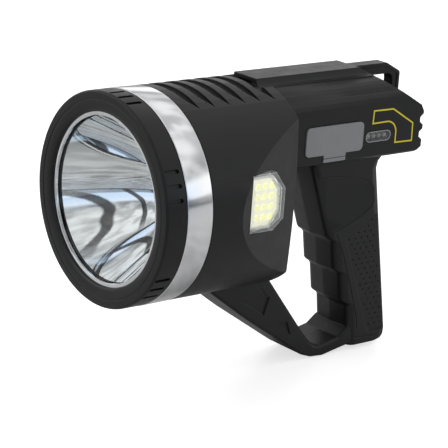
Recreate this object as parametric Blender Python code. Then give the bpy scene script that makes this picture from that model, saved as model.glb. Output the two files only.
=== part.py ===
"""A rechargeable pistol-grip searchlight, built as the separate pieces that it is assembled from.

Every shape is drawn in the beam frame: Y runs backwards along the barrel's axis from the front plane of the
bezel, Z is up from that axis, and X points to the side that carries the side lamp and the ports. An empty
named lamp_datum then carries that frame so that the world origin lies under the middle of the lamp, level
with its lowest point.
"""

from math import atan2, cos, pi, radians, sin, sqrt, tan

import bmesh
import bpy
from mathutils import Matrix, Vector

MM = 0.001

# General fits
GAP = 0.3 * MM
WALL = 2.5 * MM
OVERSHOOT = 6.0 * MM
ROUND_SEGMENTS = 64
INNER_SEGMENTS = 40
SMALL_SEGMENTS = 16
SCREW_SEGMENTS = 8

# EXACT leaves open edges where the housing's web and posts meet its thin walls, so from there on the housing
# is cut by MANIFOLD
HOUSING_SOLVER = "MANIFOLD"

# Bezel, lens and reflector, placed along the beam axis
BEZEL_FRONT_Y = 0.7 * MM
BEZEL_RADIUS = 62.8 * MM
BEZEL_REAR_Y = 14.7 * MM
BEZEL_FACE_RADIUS = 57.6 * MM
BEZEL_LIP_RADIUS = 50.5 * MM
BEZEL_LIP_DEPTH = 2.9 * MM
BEZEL_EDGE = 1.0 * MM
BEZEL_NOTCH_WIDTH = 3.0 * MM
BEZEL_NOTCH_DEPTH = 1.0 * MM
BEZEL_NOTCH_FRONT_Y = 2.6 * MM
BEZEL_NOTCH_REAR_Y = 11.8 * MM
BEZEL_NOTCH_PITCH = radians(7.5)
BEZEL_NOTCH_GROUPS = 6
BEZEL_NOTCHES_IN_GROUP = 3
BEZEL_GROUP_TURN = radians(9.0)
TRIM_RADIUS = 63.0 * MM
TRIM_REAR_Y = 32.8 * MM
TRIM_EDGE = 0.5 * MM
NECK_RADIUS = 58.5 * MM
NECK_WALL = 2.5 * MM
GASKET_THICKNESS = 0.8 * MM
GASKET_WIDTH = 5.5 * MM
LENS_THICKNESS = 2.0 * MM
FLANGE_THICKNESS = 1.5 * MM
REFLECTOR_MOUTH_RADIUS = 48.0 * MM
REFLECTOR_FOCUS = 12.0 * MM
REFLECTOR_WALL = 1.8 * MM
REFLECTOR_HOLE_RADIUS = 7.0 * MM
REFLECTOR_STEPS = 6

# Light source and its cooling
EMITTER_SIDE = 7.0 * MM
EMITTER_THICKNESS = 1.0 * MM
EMITTER_DOME_RADIUS = 3.1 * MM
CENTRING_RADIUS = 9.5 * MM
CENTRING_THICKNESS = 1.2 * MM
BOARD_THICKNESS = 1.6 * MM
EMITTER_BOARD_RADIUS = 14.0 * MM
SINK_RADIUS = 30.0 * MM
SINK_BASE = 5.0 * MM
SINK_FIN_DEPTH = 14.0 * MM
SINK_FIN_WIDTH = 2.0 * MM
SINK_FIN_COUNT = 7
SINK_RIM_WIDTH = 3.0 * MM
BULKHEAD_THICKNESS = 2.4 * MM
BULKHEAD_HOLE_RADIUS = 22.0 * MM

# Barrel of the housing
BARREL_RADIUS = 62.8 * MM
BARREL_REAR_Y = 109.0 * MM
BARREL_EDGE = 0.8 * MM
BARREL_DISH_DEPTH = 2.4 * MM
BARREL_DISH_RADIUS = 44.0 * MM
SIDE_FACET_X = 41.5 * MM
SIDE_FACET_SLOPE = 0.3894
GROOVE_COUNT = 6
GROOVE_PITCH = 11.15 * MM
GROOVE_FIRST_REAR_Y = 45.3 * MM
GROOVE_WIDTH = 6.0 * MM
GROOVE_DEPTH = 1.7 * MM
GROOVE_TIP_X = 29.1 * MM
GROOVE_FULL_X = 19.0 * MM

# Rear box with its spine
BOX_HALF_WIDTH = 25.5 * MM
BOX_BOTTOM_Z = 10.0 * MM
BOX_BOTTOM_FILLET = 2.4 * MM
SPINE_TOP_Z = 64.0 * MM
SPINE_HALF_WIDTH = 10.3 * MM
COVE_RADIUS = 4.7 * MM
SHOULDER_RADIUS = 14.4 * MM
SHOULDER_Z = 45.0 * MM
SPINE_CHANNEL_HALF_WIDTH = 6.5 * MM
BOX_REAR_Y = 226.1 * MM
CHAMFER_START_Y = 182.5 * MM
CHAMFER_END_Y = 223.7 * MM
CHAMFER_END_Z = 40.2 * MM
REAR_TOP_Z = 36.0 * MM
SCALLOP_DEPTH = 2.6 * MM
SCALLOP_HEIGHT = 5.0 * MM
SCALLOP_LEAD = 2.0 * MM
UPPER_SCALLOP_Z = 30.8 * MM
LOWER_SCALLOP_Z = 21.3 * MM
REAR_FOOT_HEIGHT = 3.5 * MM

# Hanging loop
LOOP_HALF_WIDTH = 4.25 * MM
LOOP_TOP_Z = 63.3 * MM
LOOP_REAR_Y = 222.8 * MM
LOOP_CORNER_Y = 211.0 * MM
LOOP_CORNER_Z = 57.0 * MM
LOOP_TOP_BAR = 7.1 * MM
LOOP_REAR_BAR = 5.6 * MM
LOOP_EDGE = 0.6 * MM

# Grip
GRIP_HALF_WIDTH = 17.0 * MM
GRIP_BASE_Z = -115.4 * MM
GRIP_TOP_Z = 14.0 * MM
GRIP_FRONT_TOP_Y = 147.6 * MM
GRIP_FRONT_SLOPE = 0.365
FIRST_STEP_Z = -40.5 * MM
STEP_PITCH = 21.8 * MM
STEP_HEIGHT = 4.9 * MM
STEP_DEPTH = 5.4 * MM
STEP_COUNT = 3
LOBE_SLOPE = 0.16
GRIP_REAR_TOP_Y = 202.6 * MM
GRIP_REAR_SLOPE = 0.179
GRIP_REAR_FILLET = 10.5 * MM
GRIP_HEEL_RADIUS = 6.5 * MM
GRIP_FRONT_CORNER = 5.0 * MM
GRIP_REAR_CORNER = 8.0 * MM
GRIP_FRONT_RIDGE = 1.2 * MM
GRIP_CORNER_STEPS = 3
GRIP_HOLLOW_STEPS = 2

# Guard between barrel and grip
GUARD_HALF_WIDTH = 16.2 * MM
GUARD_ROOT_Y = 72.0 * MM
GUARD_LOWEST_Z = -118.5 * MM
GUARD_EDGE = 1.4 * MM

# Side lamp
LAMP_CENTRE_Z = 4.25 * MM
LAMP_FACE_X = 61.6 * MM
LAMP_FACE_HALF_HEIGHT = 8.95 * MM
LAMP_SHOULDER_X = 56.7 * MM
LAMP_HALF_HEIGHT = 17.25 * MM
LAMP_FRONT_Y = 63.3 * MM
LAMP_FACE_REAR_Y = 85.2 * MM
LAMP_REAR_Y = 88.6 * MM
LAMP_REAR_CORNER = 6.5 * MM
LAMP_WALL = 1.6 * MM
LAMP_FLANGE = 2.4 * MM
LAMP_FLANGE_THICKNESS = 1.4 * MM
LAMP_CLEAR_DEPTH = 8.0 * MM
TRAY_WALL = 1.2 * MM
TRAY_FLOOR_X = 52.6 * MM
TRAY_RIM_X = 55.4 * MM
CHIP_ROWS = 4
CHIP_COLUMNS = 3
CHIP_ROW_PITCH = 6.2 * MM
CHIP_COLUMN_PITCH = 5.2 * MM
CHIP_SIDE = 2.8 * MM
CHIP_THICKNESS = 0.7 * MM

# Ports and their cover
COVER_FRONT_Y = 130.2 * MM
COVER_REAR_Y = 175.9 * MM
COVER_BOTTOM_Z = 16.5 * MM
COVER_TOP_Z = 34.5 * MM
COVER_CORNER = 3.0 * MM
COVER_PROUD = 0.8 * MM
COVER_RECESS = 1.2 * MM
COVER_TAB_FRONT_Y = 145.0 * MM
COVER_TAB_REAR_Y = 162.5 * MM
COVER_TAB_BOTTOM_Z = 11.9 * MM
COVER_HINGE_Z = 14.3 * MM
COVER_PLUG_DEPTH = 1.6 * MM
PLUG_CLEARANCE = 0.6 * MM
PORT_PAD_DEPTH = 1.8 * MM
PORT_PAD_MARGIN = 0.7 * MM
USB_Y = 142.0 * MM
USB_WIDTH = 13.2 * MM
USB_HEIGHT = 5.8 * MM
CHARGE_Y = 164.0 * MM
CHARGE_WIDTH = 9.2 * MM
CHARGE_HEIGHT = 3.5 * MM
SOCKET_WALL = 0.5 * MM
PORT_Z = 25.5 * MM
MAIN_BOARD_X = 9.6 * MM
MAIN_BOARD_FRONT_Y = 126.0 * MM
MAIN_BOARD_REAR_Y = 178.0 * MM
MAIN_BOARD_TOP_Z = 38.0 * MM
BOARD_SLOT_DEPTH = 3.0 * MM
BOARD_RAIL = 3.0 * MM
BOARD_FOOT = 0.5 * MM
HOLDER_RIB_DROP = 0.2 * MM

# Charge gauge
GAUGE_Y = 188.8 * MM
GAUGE_Z = 23.8 * MM
GAUGE_LENGTH = 20.5 * MM
GAUGE_HEIGHT = 6.5 * MM
GAUGE_PROUD = 0.3 * MM
GAUGE_FLANGE = 1.2 * MM
GAUGE_LED_PITCH = 4.5 * MM
GAUGE_LED_COUNT = 4
GAUGE_LED_SIDE = 1.6 * MM

# Battery
CELL_RADIUS = 9.2 * MM
CELL_LENGTH = 65.0 * MM
CELL_CONTACT_RADIUS = 2.8 * MM
CELL_CONTACT_LENGTH = 1.0 * MM
CELL_X = -5.0 * MM
CELL_FRONT_Y = 124.0 * MM
HOLDER_WALL = 1.5 * MM

# Rear buttons
BUTTON_WIDTH = 13.0 * MM
BUTTON_HEIGHT = 4.2 * MM
BUTTON_TRAVEL = 1.0 * MM
BUTTON_PROUD = 1.4 * MM
BUTTON_FLANGE = 1.2 * MM
SWITCH_BODY = 6.0 * MM
SWITCH_DEPTH = 3.5 * MM
SWITCH_BOARD_HALF_WIDTH = 10.0 * MM

# Housing screws: place of each along Y and Z
SCREW_HEAD_RADIUS = 2.8 * MM
SCREW_HEAD_HEIGHT = 2.0 * MM
SCREW_SHANK_RADIUS = 1.4 * MM
SCREW_SEAT_X = 8.0 * MM
SCREW_REACH_X = 7.0 * MM
BOSS_RADIUS = 4.4 * MM
BOSS_SIDES = 8
SCREW_PLACES = (
    (180.0 * MM, 1.0 * MM),
    (196.0 * MM, -52.0 * MM),
    (205.0 * MM, -104.0 * MM),
    (205.0 * MM, 39.0 * MM),
    (116.0 * MM, 22.0 * MM),
    (100.0 * MM, -70.5 * MM),
)

# Sizes that follow from the ones above
LIP_REAR_Y = BEZEL_FRONT_Y + BEZEL_LIP_DEPTH
GASKET_FRONT_Y = LIP_REAR_Y + GAP
LENS_FRONT_Y = GASKET_FRONT_Y + GASKET_THICKNESS + GAP
FLANGE_FRONT_Y = LENS_FRONT_Y + LENS_THICKNESS + GAP
NECK_FRONT_Y = FLANGE_FRONT_Y + FLANGE_THICKNESS + GAP
TRIM_FRONT_Y = BEZEL_REAR_Y + GAP
BARREL_FRONT_Y = TRIM_REAR_Y + GAP
RING_BORE = NECK_RADIUS + GAP
DISC_RADIUS = RING_BORE - GAP
BOWL_VERTEX_Y = FLANGE_FRONT_Y + REFLECTOR_MOUTH_RADIUS**2 / (4.0 * REFLECTOR_FOCUS)
BOWL_END_Y = BOWL_VERTEX_Y - REFLECTOR_HOLE_RADIUS**2 / (4.0 * REFLECTOR_FOCUS)
CENTRING_FRONT_Y = BOWL_END_Y + REFLECTOR_WALL + GAP
EMITTER_BOARD_Y = CENTRING_FRONT_Y + CENTRING_THICKNESS + GAP
SINK_FRONT_Y = EMITTER_BOARD_Y + BOARD_THICKNESS + GAP
SINK_REAR_Y = SINK_FRONT_Y + SINK_BASE + SINK_FIN_DEPTH
BULKHEAD_Y = SINK_REAR_Y + GAP
GROOVE_LAST_REAR_Y = GROOVE_FIRST_REAR_Y + (GROOVE_COUNT - 1) * GROOVE_PITCH
SHOULDER_X = BOX_HALF_WIDTH - SHOULDER_RADIUS
CHAMFER_SLOPE = (SPINE_TOP_Z - CHAMFER_END_Z) / (CHAMFER_END_Y - CHAMFER_START_Y)
FLOOR_Z = BOX_BOTTOM_Z + WALL
LOWER_CELL_Z = FLOOR_Z + GAP + HOLDER_WALL + GAP + CELL_RADIUS
UPPER_CELL_Z = LOWER_CELL_Z + 2.0 * CELL_RADIUS + GAP
INNER_WALL_X = BOX_HALF_WIDTH - WALL
PORT_PAD_X = INNER_WALL_X - PORT_PAD_DEPTH
SCALLOP_FLOOR_Y = BOX_REAR_Y - SCALLOP_DEPTH
REAR_WALL_INNER_Y = SCALLOP_FLOOR_Y - WALL
BUTTON_FLANGE_Y = REAR_WALL_INNER_Y - GAP - BUTTON_FLANGE
SWITCH_FACE_Y = BUTTON_FLANGE_Y - BUTTON_TRAVEL - GAP
SWITCH_BOARD_Y = SWITCH_FACE_Y - SWITCH_DEPTH - BOARD_THICKNESS
DATUM = Vector((0.0, -(BEZEL_FRONT_Y + BOX_REAR_Y) / 2.0, -GUARD_LOWEST_Z))


def clear_scene():
    """Remove every object, mesh and material that the file opened with."""
    for item in list(bpy.data.objects):
        bpy.data.objects.remove(item, do_unlink=True)
    for store in (bpy.data.meshes, bpy.data.materials):
        for item in list(store):
            store.remove(item)


def material(name, colour, roughness, metallic=0.0, alpha=1.0):
    """Principled material of one finish."""
    made = bpy.data.materials.new(name)
    made.use_nodes = True
    shader = made.node_tree.nodes["Principled BSDF"]
    shader.inputs["Base Color"].default_value = (*colour, 1.0)
    shader.inputs["Roughness"].default_value = roughness
    shader.inputs["Metallic"].default_value = metallic
    shader.inputs["Alpha"].default_value = alpha
    made.diffuse_color = (*colour, alpha)
    return made


class Workshop:
    """Turns bmeshes into objects that hang from the lamp's datum."""

    def __init__(self):
        self.datum = bpy.data.objects.new("lamp_datum", None)
        self.datum.location = DATUM
        bpy.context.scene.collection.objects.link(self.datum)

    def piece(self, name, shape, finish, pivot=(0.0, 0.0, 0.0)):
        """Make a sub-part whose origin is at pivot, in the beam frame."""
        bmesh.ops.translate(shape, verts=shape.verts, vec=-Vector(pivot))
        mesh = bpy.data.meshes.new(name)
        shape.to_mesh(mesh)
        shape.free()
        mesh.shade_smooth()
        mesh.set_sharp_from_angle(angle=radians(32.0))
        mesh.materials.append(finish)
        made = bpy.data.objects.new(name, mesh)
        made.parent = self.datum
        made.location = pivot
        bpy.context.scene.collection.objects.link(made)
        return made

    def tool(self, name, shape, finish):
        """Make a hidden solid that only shapes other pieces."""
        made = self.piece(name, shape, finish)
        made.display_type = "WIRE"
        made.hide_render = True
        return made


def combine(target, tool, operation, solver="EXACT"):
    """Add one Boolean step to a piece."""
    step = target.modifiers.new(operation.lower() + "_" + tool.name, "BOOLEAN")
    step.operation = operation
    step.object = tool
    step.solver = solver
    return step


def closed(shape):
    """Merge seams and poles, and turn every face outwards."""
    bmesh.ops.remove_doubles(shape, verts=shape.verts, dist=0.001 * MM)
    bmesh.ops.recalc_face_normals(shape, faces=shape.faces)
    return shape


def revolved(profile, segments=ROUND_SEGMENTS):
    """Turn a closed outline of (radius, y) points about the beam axis."""
    shape = bmesh.new()
    ring = [shape.verts.new((radius, y, 0.0)) for radius, y in profile]
    pairs = [(ring[i - 1], ring[i]) for i in range(len(ring))]
    edges = [shape.edges.new(pair) for pair in pairs if pair[0].co.x + pair[1].co.x > 0.0]
    bmesh.ops.spin(shape, geom=ring + edges, cent=(0, 0, 0), axis=(0, 1, 0), angle=2.0 * pi,
                   steps=segments, use_merge=True)
    bmesh.ops.remove_doubles(shape, verts=shape.verts, dist=0.001 * MM)
    bmesh.ops.dissolve_degenerate(shape, edges=shape.edges, dist=0.001 * MM)
    return closed(shape)


def extruded(outline, axis, low, high):
    """Extrude a closed outline along X, Y or Z; the outline holds the other two coordinates in order."""
    shape = bmesh.new()
    place = {
        "X": lambda a, b: (low, a, b),
        "Y": lambda a, b: (a, low, b),
        "Z": lambda a, b: (a, b, low),
    }[axis]
    face = shape.faces.new([shape.verts.new(place(a, b)) for a, b in outline])
    reach = Vector({"X": (1, 0, 0), "Y": (0, 1, 0), "Z": (0, 0, 1)}[axis]) * (high - low)
    grown = bmesh.ops.extrude_face_region(shape, geom=[face])["geom"]
    bmesh.ops.translate(shape, verts=[v for v in grown if isinstance(v, bmesh.types.BMVert)], vec=reach)
    return closed(shape)


def block(low, high):
    """Box between two corners."""
    outline = [(low[0], low[1]), (high[0], low[1]), (high[0], high[1]), (low[0], high[1])]
    return extruded(outline, "Z", low[2], high[2])


def rod(axis, centre, radius, low, high, segments=SMALL_SEGMENTS):
    """Round bar along X, Y or Z; centre holds the other two coordinates in order."""
    outline = arc(centre, radius, 0.0, 2.0 * pi, segments)[:-1]
    return extruded(outline, axis, low, high)


def arc(centre, radius, start, end, steps):
    """Points of an arc from start to end, both included."""
    return [
        (centre[0] + radius * cos(start + (end - start) * i / steps),
         centre[1] + radius * sin(start + (end - start) * i / steps))
        for i in range(steps + 1)
    ]


def rounded(corners, radii, steps=4):
    """Closed outline with a fillet at each corner; a radius of 0 leaves the corner sharp."""
    outline = []
    count = len(corners)
    for i, (corner, radius) in enumerate(zip(corners, radii)):
        here = Vector(corner)
        before = Vector(corners[i - 1]) - here
        after = Vector(corners[(i + 1) % count]) - here
        half = before.angle(after) / 2.0
        if radius <= 0.0 or half > pi / 2.0 - 0.01:
            outline.append(tuple(here))
            continue
        trim = radius / tan(half)
        centre = here + (before.normalized() + after.normalized()).normalized() * radius / sin(half)
        first = here + before.normalized() * trim - centre
        last = here + after.normalized() * trim - centre
        start = atan2(first.y, first.x)
        turn = first.angle_signed(last)
        outline += [
            (centre.x + radius * cos(start - turn * j / steps), centre.y + radius * sin(start - turn * j / steps))
            for j in range(steps + 1)
        ]
    return outline


def slab(width, height, corner, centre, steps=3):
    """Outline of a rectangle with rounded corners."""
    a, b = width / 2.0, height / 2.0
    corners = [(centre[0] - a, centre[1] - b), (centre[0] + a, centre[1] - b),
               (centre[0] + a, centre[1] + b), (centre[0] - a, centre[1] + b)]
    return rounded(corners, [min(corner, 0.999 * a, 0.999 * b)] * 4, steps)


def joined(*shapes):
    """Put several closed shapes that don't touch into one bmesh."""
    whole = bmesh.new()
    for shape in shapes:
        mesh = bpy.data.meshes.new("joined")
        shape.to_mesh(mesh)
        shape.free()
        whole.from_mesh(mesh)
        bpy.data.meshes.remove(mesh)
    return whole


# Front of the lamp


def bezel_ring(shop, finish):
    """Screw-on front ring: a bevelled lip, a straight skirt and groups of short grip notches."""
    skirt_bore = RING_BORE
    profile = [
        (BEZEL_FACE_RADIUS, BEZEL_FRONT_Y),
        (BEZEL_RADIUS - BEZEL_EDGE, BEZEL_FRONT_Y),
        (BEZEL_RADIUS - 0.3 * BEZEL_EDGE, BEZEL_FRONT_Y + 0.3 * BEZEL_EDGE),
        (BEZEL_RADIUS, BEZEL_FRONT_Y + BEZEL_EDGE),
        (BEZEL_RADIUS, BEZEL_REAR_Y),
        (skirt_bore, BEZEL_REAR_Y),
        (skirt_bore, LIP_REAR_Y),
        (BEZEL_LIP_RADIUS, LIP_REAR_Y),
        (BEZEL_LIP_RADIUS, BEZEL_FRONT_Y + 0.5 * BEZEL_LIP_DEPTH),
    ]
    ring = shop.piece("bezel_ring", revolved(profile), finish)
    notches = []
    for group in range(BEZEL_NOTCH_GROUPS):
        for notch in range(BEZEL_NOTCHES_IN_GROUP):
            turn = 2.0 * pi * group / BEZEL_NOTCH_GROUPS + BEZEL_GROUP_TURN
            turn += (notch - (BEZEL_NOTCHES_IN_GROUP - 1) / 2.0) * BEZEL_NOTCH_PITCH
            outline = slab(BEZEL_NOTCH_WIDTH, BEZEL_NOTCH_REAR_Y - BEZEL_NOTCH_FRONT_Y, BEZEL_NOTCH_WIDTH / 2.0,
                           (0.0, (BEZEL_NOTCH_REAR_Y + BEZEL_NOTCH_FRONT_Y) / 2.0), 1)
            cutter = extruded(outline, "Z", BEZEL_RADIUS - BEZEL_NOTCH_DEPTH, BEZEL_RADIUS + OVERSHOOT)
            bmesh.ops.rotate(cutter, verts=cutter.verts, cent=(0, 0, 0), matrix=Matrix.Rotation(turn, 3, "Y"))
            notches.append(cutter)
    combine(ring, shop.tool("bezel_notches", joined(*notches), finish), "DIFFERENCE")
    return ring


def trim_ring(shop, finish):
    """Polished band between the bezel and the barrel."""
    profile = [
        (RING_BORE, TRIM_FRONT_Y),
        (TRIM_RADIUS - TRIM_EDGE, TRIM_FRONT_Y),
        (TRIM_RADIUS, TRIM_FRONT_Y + TRIM_EDGE),
        (TRIM_RADIUS - 0.4 * TRIM_EDGE, TRIM_REAR_Y - TRIM_EDGE),
        (TRIM_RADIUS - 1.4 * TRIM_EDGE, TRIM_REAR_Y),
        (RING_BORE, TRIM_REAR_Y),
    ]
    return shop.piece("trim_ring", revolved(profile), finish)


def lens_gasket(shop, finish):
    """Flat rubber ring between the bezel's lip and the lens."""
    inner = DISC_RADIUS - GASKET_WIDTH
    rear = GASKET_FRONT_Y + GASKET_THICKNESS
    profile = [(inner, GASKET_FRONT_Y), (DISC_RADIUS, GASKET_FRONT_Y), (DISC_RADIUS, rear), (inner, rear)]
    return shop.piece("lens_gasket", revolved(profile, INNER_SEGMENTS), finish)


def front_lens(shop, finish):
    """Clear flat disc."""
    outline = arc((0.0, 0.0), DISC_RADIUS, 0.0, 2.0 * pi, INNER_SEGMENTS)[:-1]
    disc = extruded(outline, "Y", LENS_FRONT_Y, LENS_FRONT_Y + LENS_THICKNESS)
    return shop.piece("front_lens", disc, finish)


def main_reflector(shop, finish):
    """Deep parabolic bowl with a clamping flange at its mouth and a hole for the light source."""
    def bowl(radius):
        return BOWL_VERTEX_Y - radius**2 / (4.0 * REFLECTOR_FOCUS)

    span = REFLECTOR_MOUTH_RADIUS - REFLECTOR_HOLE_RADIUS
    radii = [REFLECTOR_MOUTH_RADIUS - span * i / REFLECTOR_STEPS for i in range(REFLECTOR_STEPS + 1)]
    inside = [(radius, bowl(radius)) for radius in radii]
    outside = []
    for radius in reversed(radii):
        steep = radius / (2.0 * REFLECTOR_FOCUS)
        lean = sqrt(1.0 + steep**2)
        outside.append((radius + REFLECTOR_WALL * steep / lean, bowl(radius) + REFLECTOR_WALL / lean))
    flange_rear = FLANGE_FRONT_Y + FLANGE_THICKNESS
    back = [point for point in outside if point[1] > flange_rear + FLANGE_THICKNESS]
    rim = [(back[-1][0] + REFLECTOR_WALL / 2.0, flange_rear), (DISC_RADIUS, flange_rear),
           (DISC_RADIUS, FLANGE_FRONT_Y)]
    foot = [(REFLECTOR_HOLE_RADIUS, BOWL_END_Y + REFLECTOR_WALL)]
    return shop.piece("main_reflector", revolved(inside + foot + back + rim, INNER_SEGMENTS), finish)


def centring_ring(shop, finish):
    """White collar that keeps the bowl centred on the light source."""
    bore = EMITTER_SIDE / sqrt(2.0) + GAP
    spigot = REFLECTOR_HOLE_RADIUS - GAP
    top = CENTRING_FRONT_Y - REFLECTOR_WALL
    rear = CENTRING_FRONT_Y + CENTRING_THICKNESS
    profile = [(bore, top), (spigot, top), (spigot, CENTRING_FRONT_Y), (CENTRING_RADIUS, CENTRING_FRONT_Y),
               (CENTRING_RADIUS, rear), (bore, rear)]
    return shop.piece("centring_ring", revolved(profile, SMALL_SEGMENTS), finish)


def main_emitter(shop, finish):
    """Square light source with its dome, standing on the emitter board."""
    half = EMITTER_SIDE / 2.0
    rear = EMITTER_BOARD_Y - GAP
    front = rear - EMITTER_THICKNESS
    base = extruded([(-half, -half), (half, -half), (half, half), (-half, half)], "Y", front, rear)
    emitter = shop.piece("main_emitter", base, finish)
    dome = [(0.0, front - EMITTER_DOME_RADIUS)]
    dome += [(EMITTER_DOME_RADIUS * sin(pi * i / 12.0), front - EMITTER_DOME_RADIUS * cos(pi * i / 12.0))
             for i in range(1, 7)]
    dome += [(EMITTER_DOME_RADIUS, front + EMITTER_THICKNESS / 2.0), (0.0, front + EMITTER_THICKNESS / 2.0)]
    combine(emitter, shop.tool("emitter_dome", revolved(dome, SMALL_SEGMENTS), finish), "UNION")
    return emitter


def emitter_board(shop, finish):
    """Round metal-cored board with two notches for the leads."""
    outline = arc((0.0, 0.0), EMITTER_BOARD_RADIUS, 0.0, 2.0 * pi, SMALL_SEGMENTS * 2)[:-1]
    board = shop.piece("emitter_board",
                       extruded(outline, "Y", EMITTER_BOARD_Y, EMITTER_BOARD_Y + BOARD_THICKNESS), finish)
    for side in (-1, 1):
        notch = rod("Y", (side * EMITTER_BOARD_RADIUS, 0.0), 1.6 * MM, EMITTER_BOARD_Y - OVERSHOOT,
                    EMITTER_BOARD_Y + OVERSHOOT)
        combine(board, shop.tool("board_notch_" + ("left" if side < 0 else "right"), notch, finish), "DIFFERENCE")
    return board


def heat_sink(shop, finish):
    """Aluminium disc with straight fins behind it and a rim that the housing's bulkhead carries."""
    front = SINK_FRONT_Y
    base_rear = front + SINK_BASE
    rim_bore = SINK_RADIUS - SINK_RIM_WIDTH
    profile = [(0.0, front), (SINK_RADIUS, front), (SINK_RADIUS, SINK_REAR_Y), (rim_bore, SINK_REAR_Y),
               (rim_bore, base_rear), (0.0, base_rear)]
    sink = shop.piece("heat_sink", revolved(profile, INNER_SEGMENTS), finish)
    pitch = 2.0 * rim_bore / (SINK_FIN_COUNT + 1)
    for i in range(SINK_FIN_COUNT):
        x = (i - (SINK_FIN_COUNT - 1) / 2.0) * pitch
        reach = sqrt(rim_bore**2 - (abs(x) + SINK_FIN_WIDTH)**2) + SINK_RIM_WIDTH / 2.0
        fin = block((x - SINK_FIN_WIDTH / 2.0, base_rear - 1.0 * MM, -reach),
                    (x + SINK_FIN_WIDTH / 2.0, SINK_REAR_Y - 1.0 * MM, reach))
        combine(sink, shop.tool("sink_fin_%d" % (i + 1), fin, finish), "UNION")
    return sink


# Moulded housing


def facet_x(y):
    """Distance from the middle plane of the slanting side facet at a place along the barrel."""
    return SIDE_FACET_X + SIDE_FACET_SLOPE * (BARREL_REAR_Y - y)


def facet_outline(inset, reach):
    """Plan of what lies outside the side facet, on the side of the ports."""
    shift = inset * sqrt(1.0 + SIDE_FACET_SLOPE**2)
    front = BARREL_FRONT_Y - OVERSHOOT
    rear = BARREL_REAR_Y + OVERSHOOT
    return [(facet_x(front) - shift, front), (facet_x(front) + reach, front), (facet_x(front) + reach, rear),
            (facet_x(rear) - shift, rear)]


def both_facets(inset):
    """What lies outside the slanting facets on both sides, moved inwards by an inset."""
    outline = facet_outline(inset, 30.0 * MM)
    low, high = -BARREL_RADIUS - OVERSHOOT, BARREL_RADIUS + OVERSHOOT
    return joined(extruded(outline, "Z", low, high), extruded(mirrored(outline), "Z", low, high))


def mirrored(outline):
    """The same outline on the other side of the middle plane."""
    return [(-a, b) for a, b in reversed(outline)]


def barrel_solid():
    """Outer form of the barrel with the neck that carries the rings."""
    return revolved([
        (0.0, NECK_FRONT_Y), (NECK_RADIUS, NECK_FRONT_Y), (NECK_RADIUS, BARREL_FRONT_Y),
        (BARREL_RADIUS, BARREL_FRONT_Y), (BARREL_RADIUS, BARREL_REAR_Y - BARREL_EDGE),
        (BARREL_RADIUS - BARREL_EDGE, BARREL_REAR_Y), (BARREL_DISH_RADIUS, BARREL_REAR_Y + BARREL_DISH_DEPTH),
        (0.0, BARREL_REAR_Y + BARREL_DISH_DEPTH),
    ])


def barrel_hollow():
    """Inside of the barrel, open at the front."""
    neck_bore = NECK_RADIUS - NECK_WALL
    bore = BARREL_RADIUS - WALL
    dish = BARREL_DISH_RADIUS - WALL
    front = NECK_FRONT_Y - OVERSHOOT
    return revolved([
        (0.0, front), (neck_bore, front), (neck_bore, BARREL_FRONT_Y + WALL), (bore, BARREL_FRONT_Y + WALL + 4 * MM),
        (bore, BARREL_REAR_Y - WALL), (dish, BARREL_REAR_Y + BARREL_DISH_DEPTH - WALL),
        (0.0, BARREL_REAR_Y + BARREL_DISH_DEPTH - WALL),
    ], INNER_SEGMENTS)


def box_section():
    """Cross-section of the rear box: flat spine, coves, round shoulders and filleted foot."""
    right = [(SPINE_HALF_WIDTH, SPINE_TOP_Z)]
    cove = (SPINE_HALF_WIDTH + COVE_RADIUS, SPINE_TOP_Z)
    right += arc(cove, COVE_RADIUS, pi, 1.5 * pi, 5)[1:]
    lean = atan2(SPINE_TOP_Z - COVE_RADIUS - SHOULDER_Z, cove[0] - SHOULDER_X)
    right += arc((SHOULDER_X, SHOULDER_Z), SHOULDER_RADIUS, lean, 0.0, 8)
    foot = (BOX_HALF_WIDTH - BOX_BOTTOM_FILLET, BOX_BOTTOM_Z + BOX_BOTTOM_FILLET)
    right += arc(foot, BOX_BOTTOM_FILLET, 0.0, -pi / 2.0, 4)
    return right + mirrored(right)


def box_hollow_section():
    """Cross-section of the room inside the rear box, with a channel up into the spine."""
    inner = SHOULDER_RADIUS - WALL
    top = SHOULDER_Z + inner
    right = [(SPINE_CHANNEL_HALF_WIDTH, SPINE_TOP_Z - WALL), (SPINE_CHANNEL_HALF_WIDTH, top)]
    right += arc((SHOULDER_X, SHOULDER_Z), inner, pi / 2.0, 0.0, 6)
    right += [(INNER_WALL_X, FLOOR_Z)]
    return right + mirrored(right)


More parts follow.
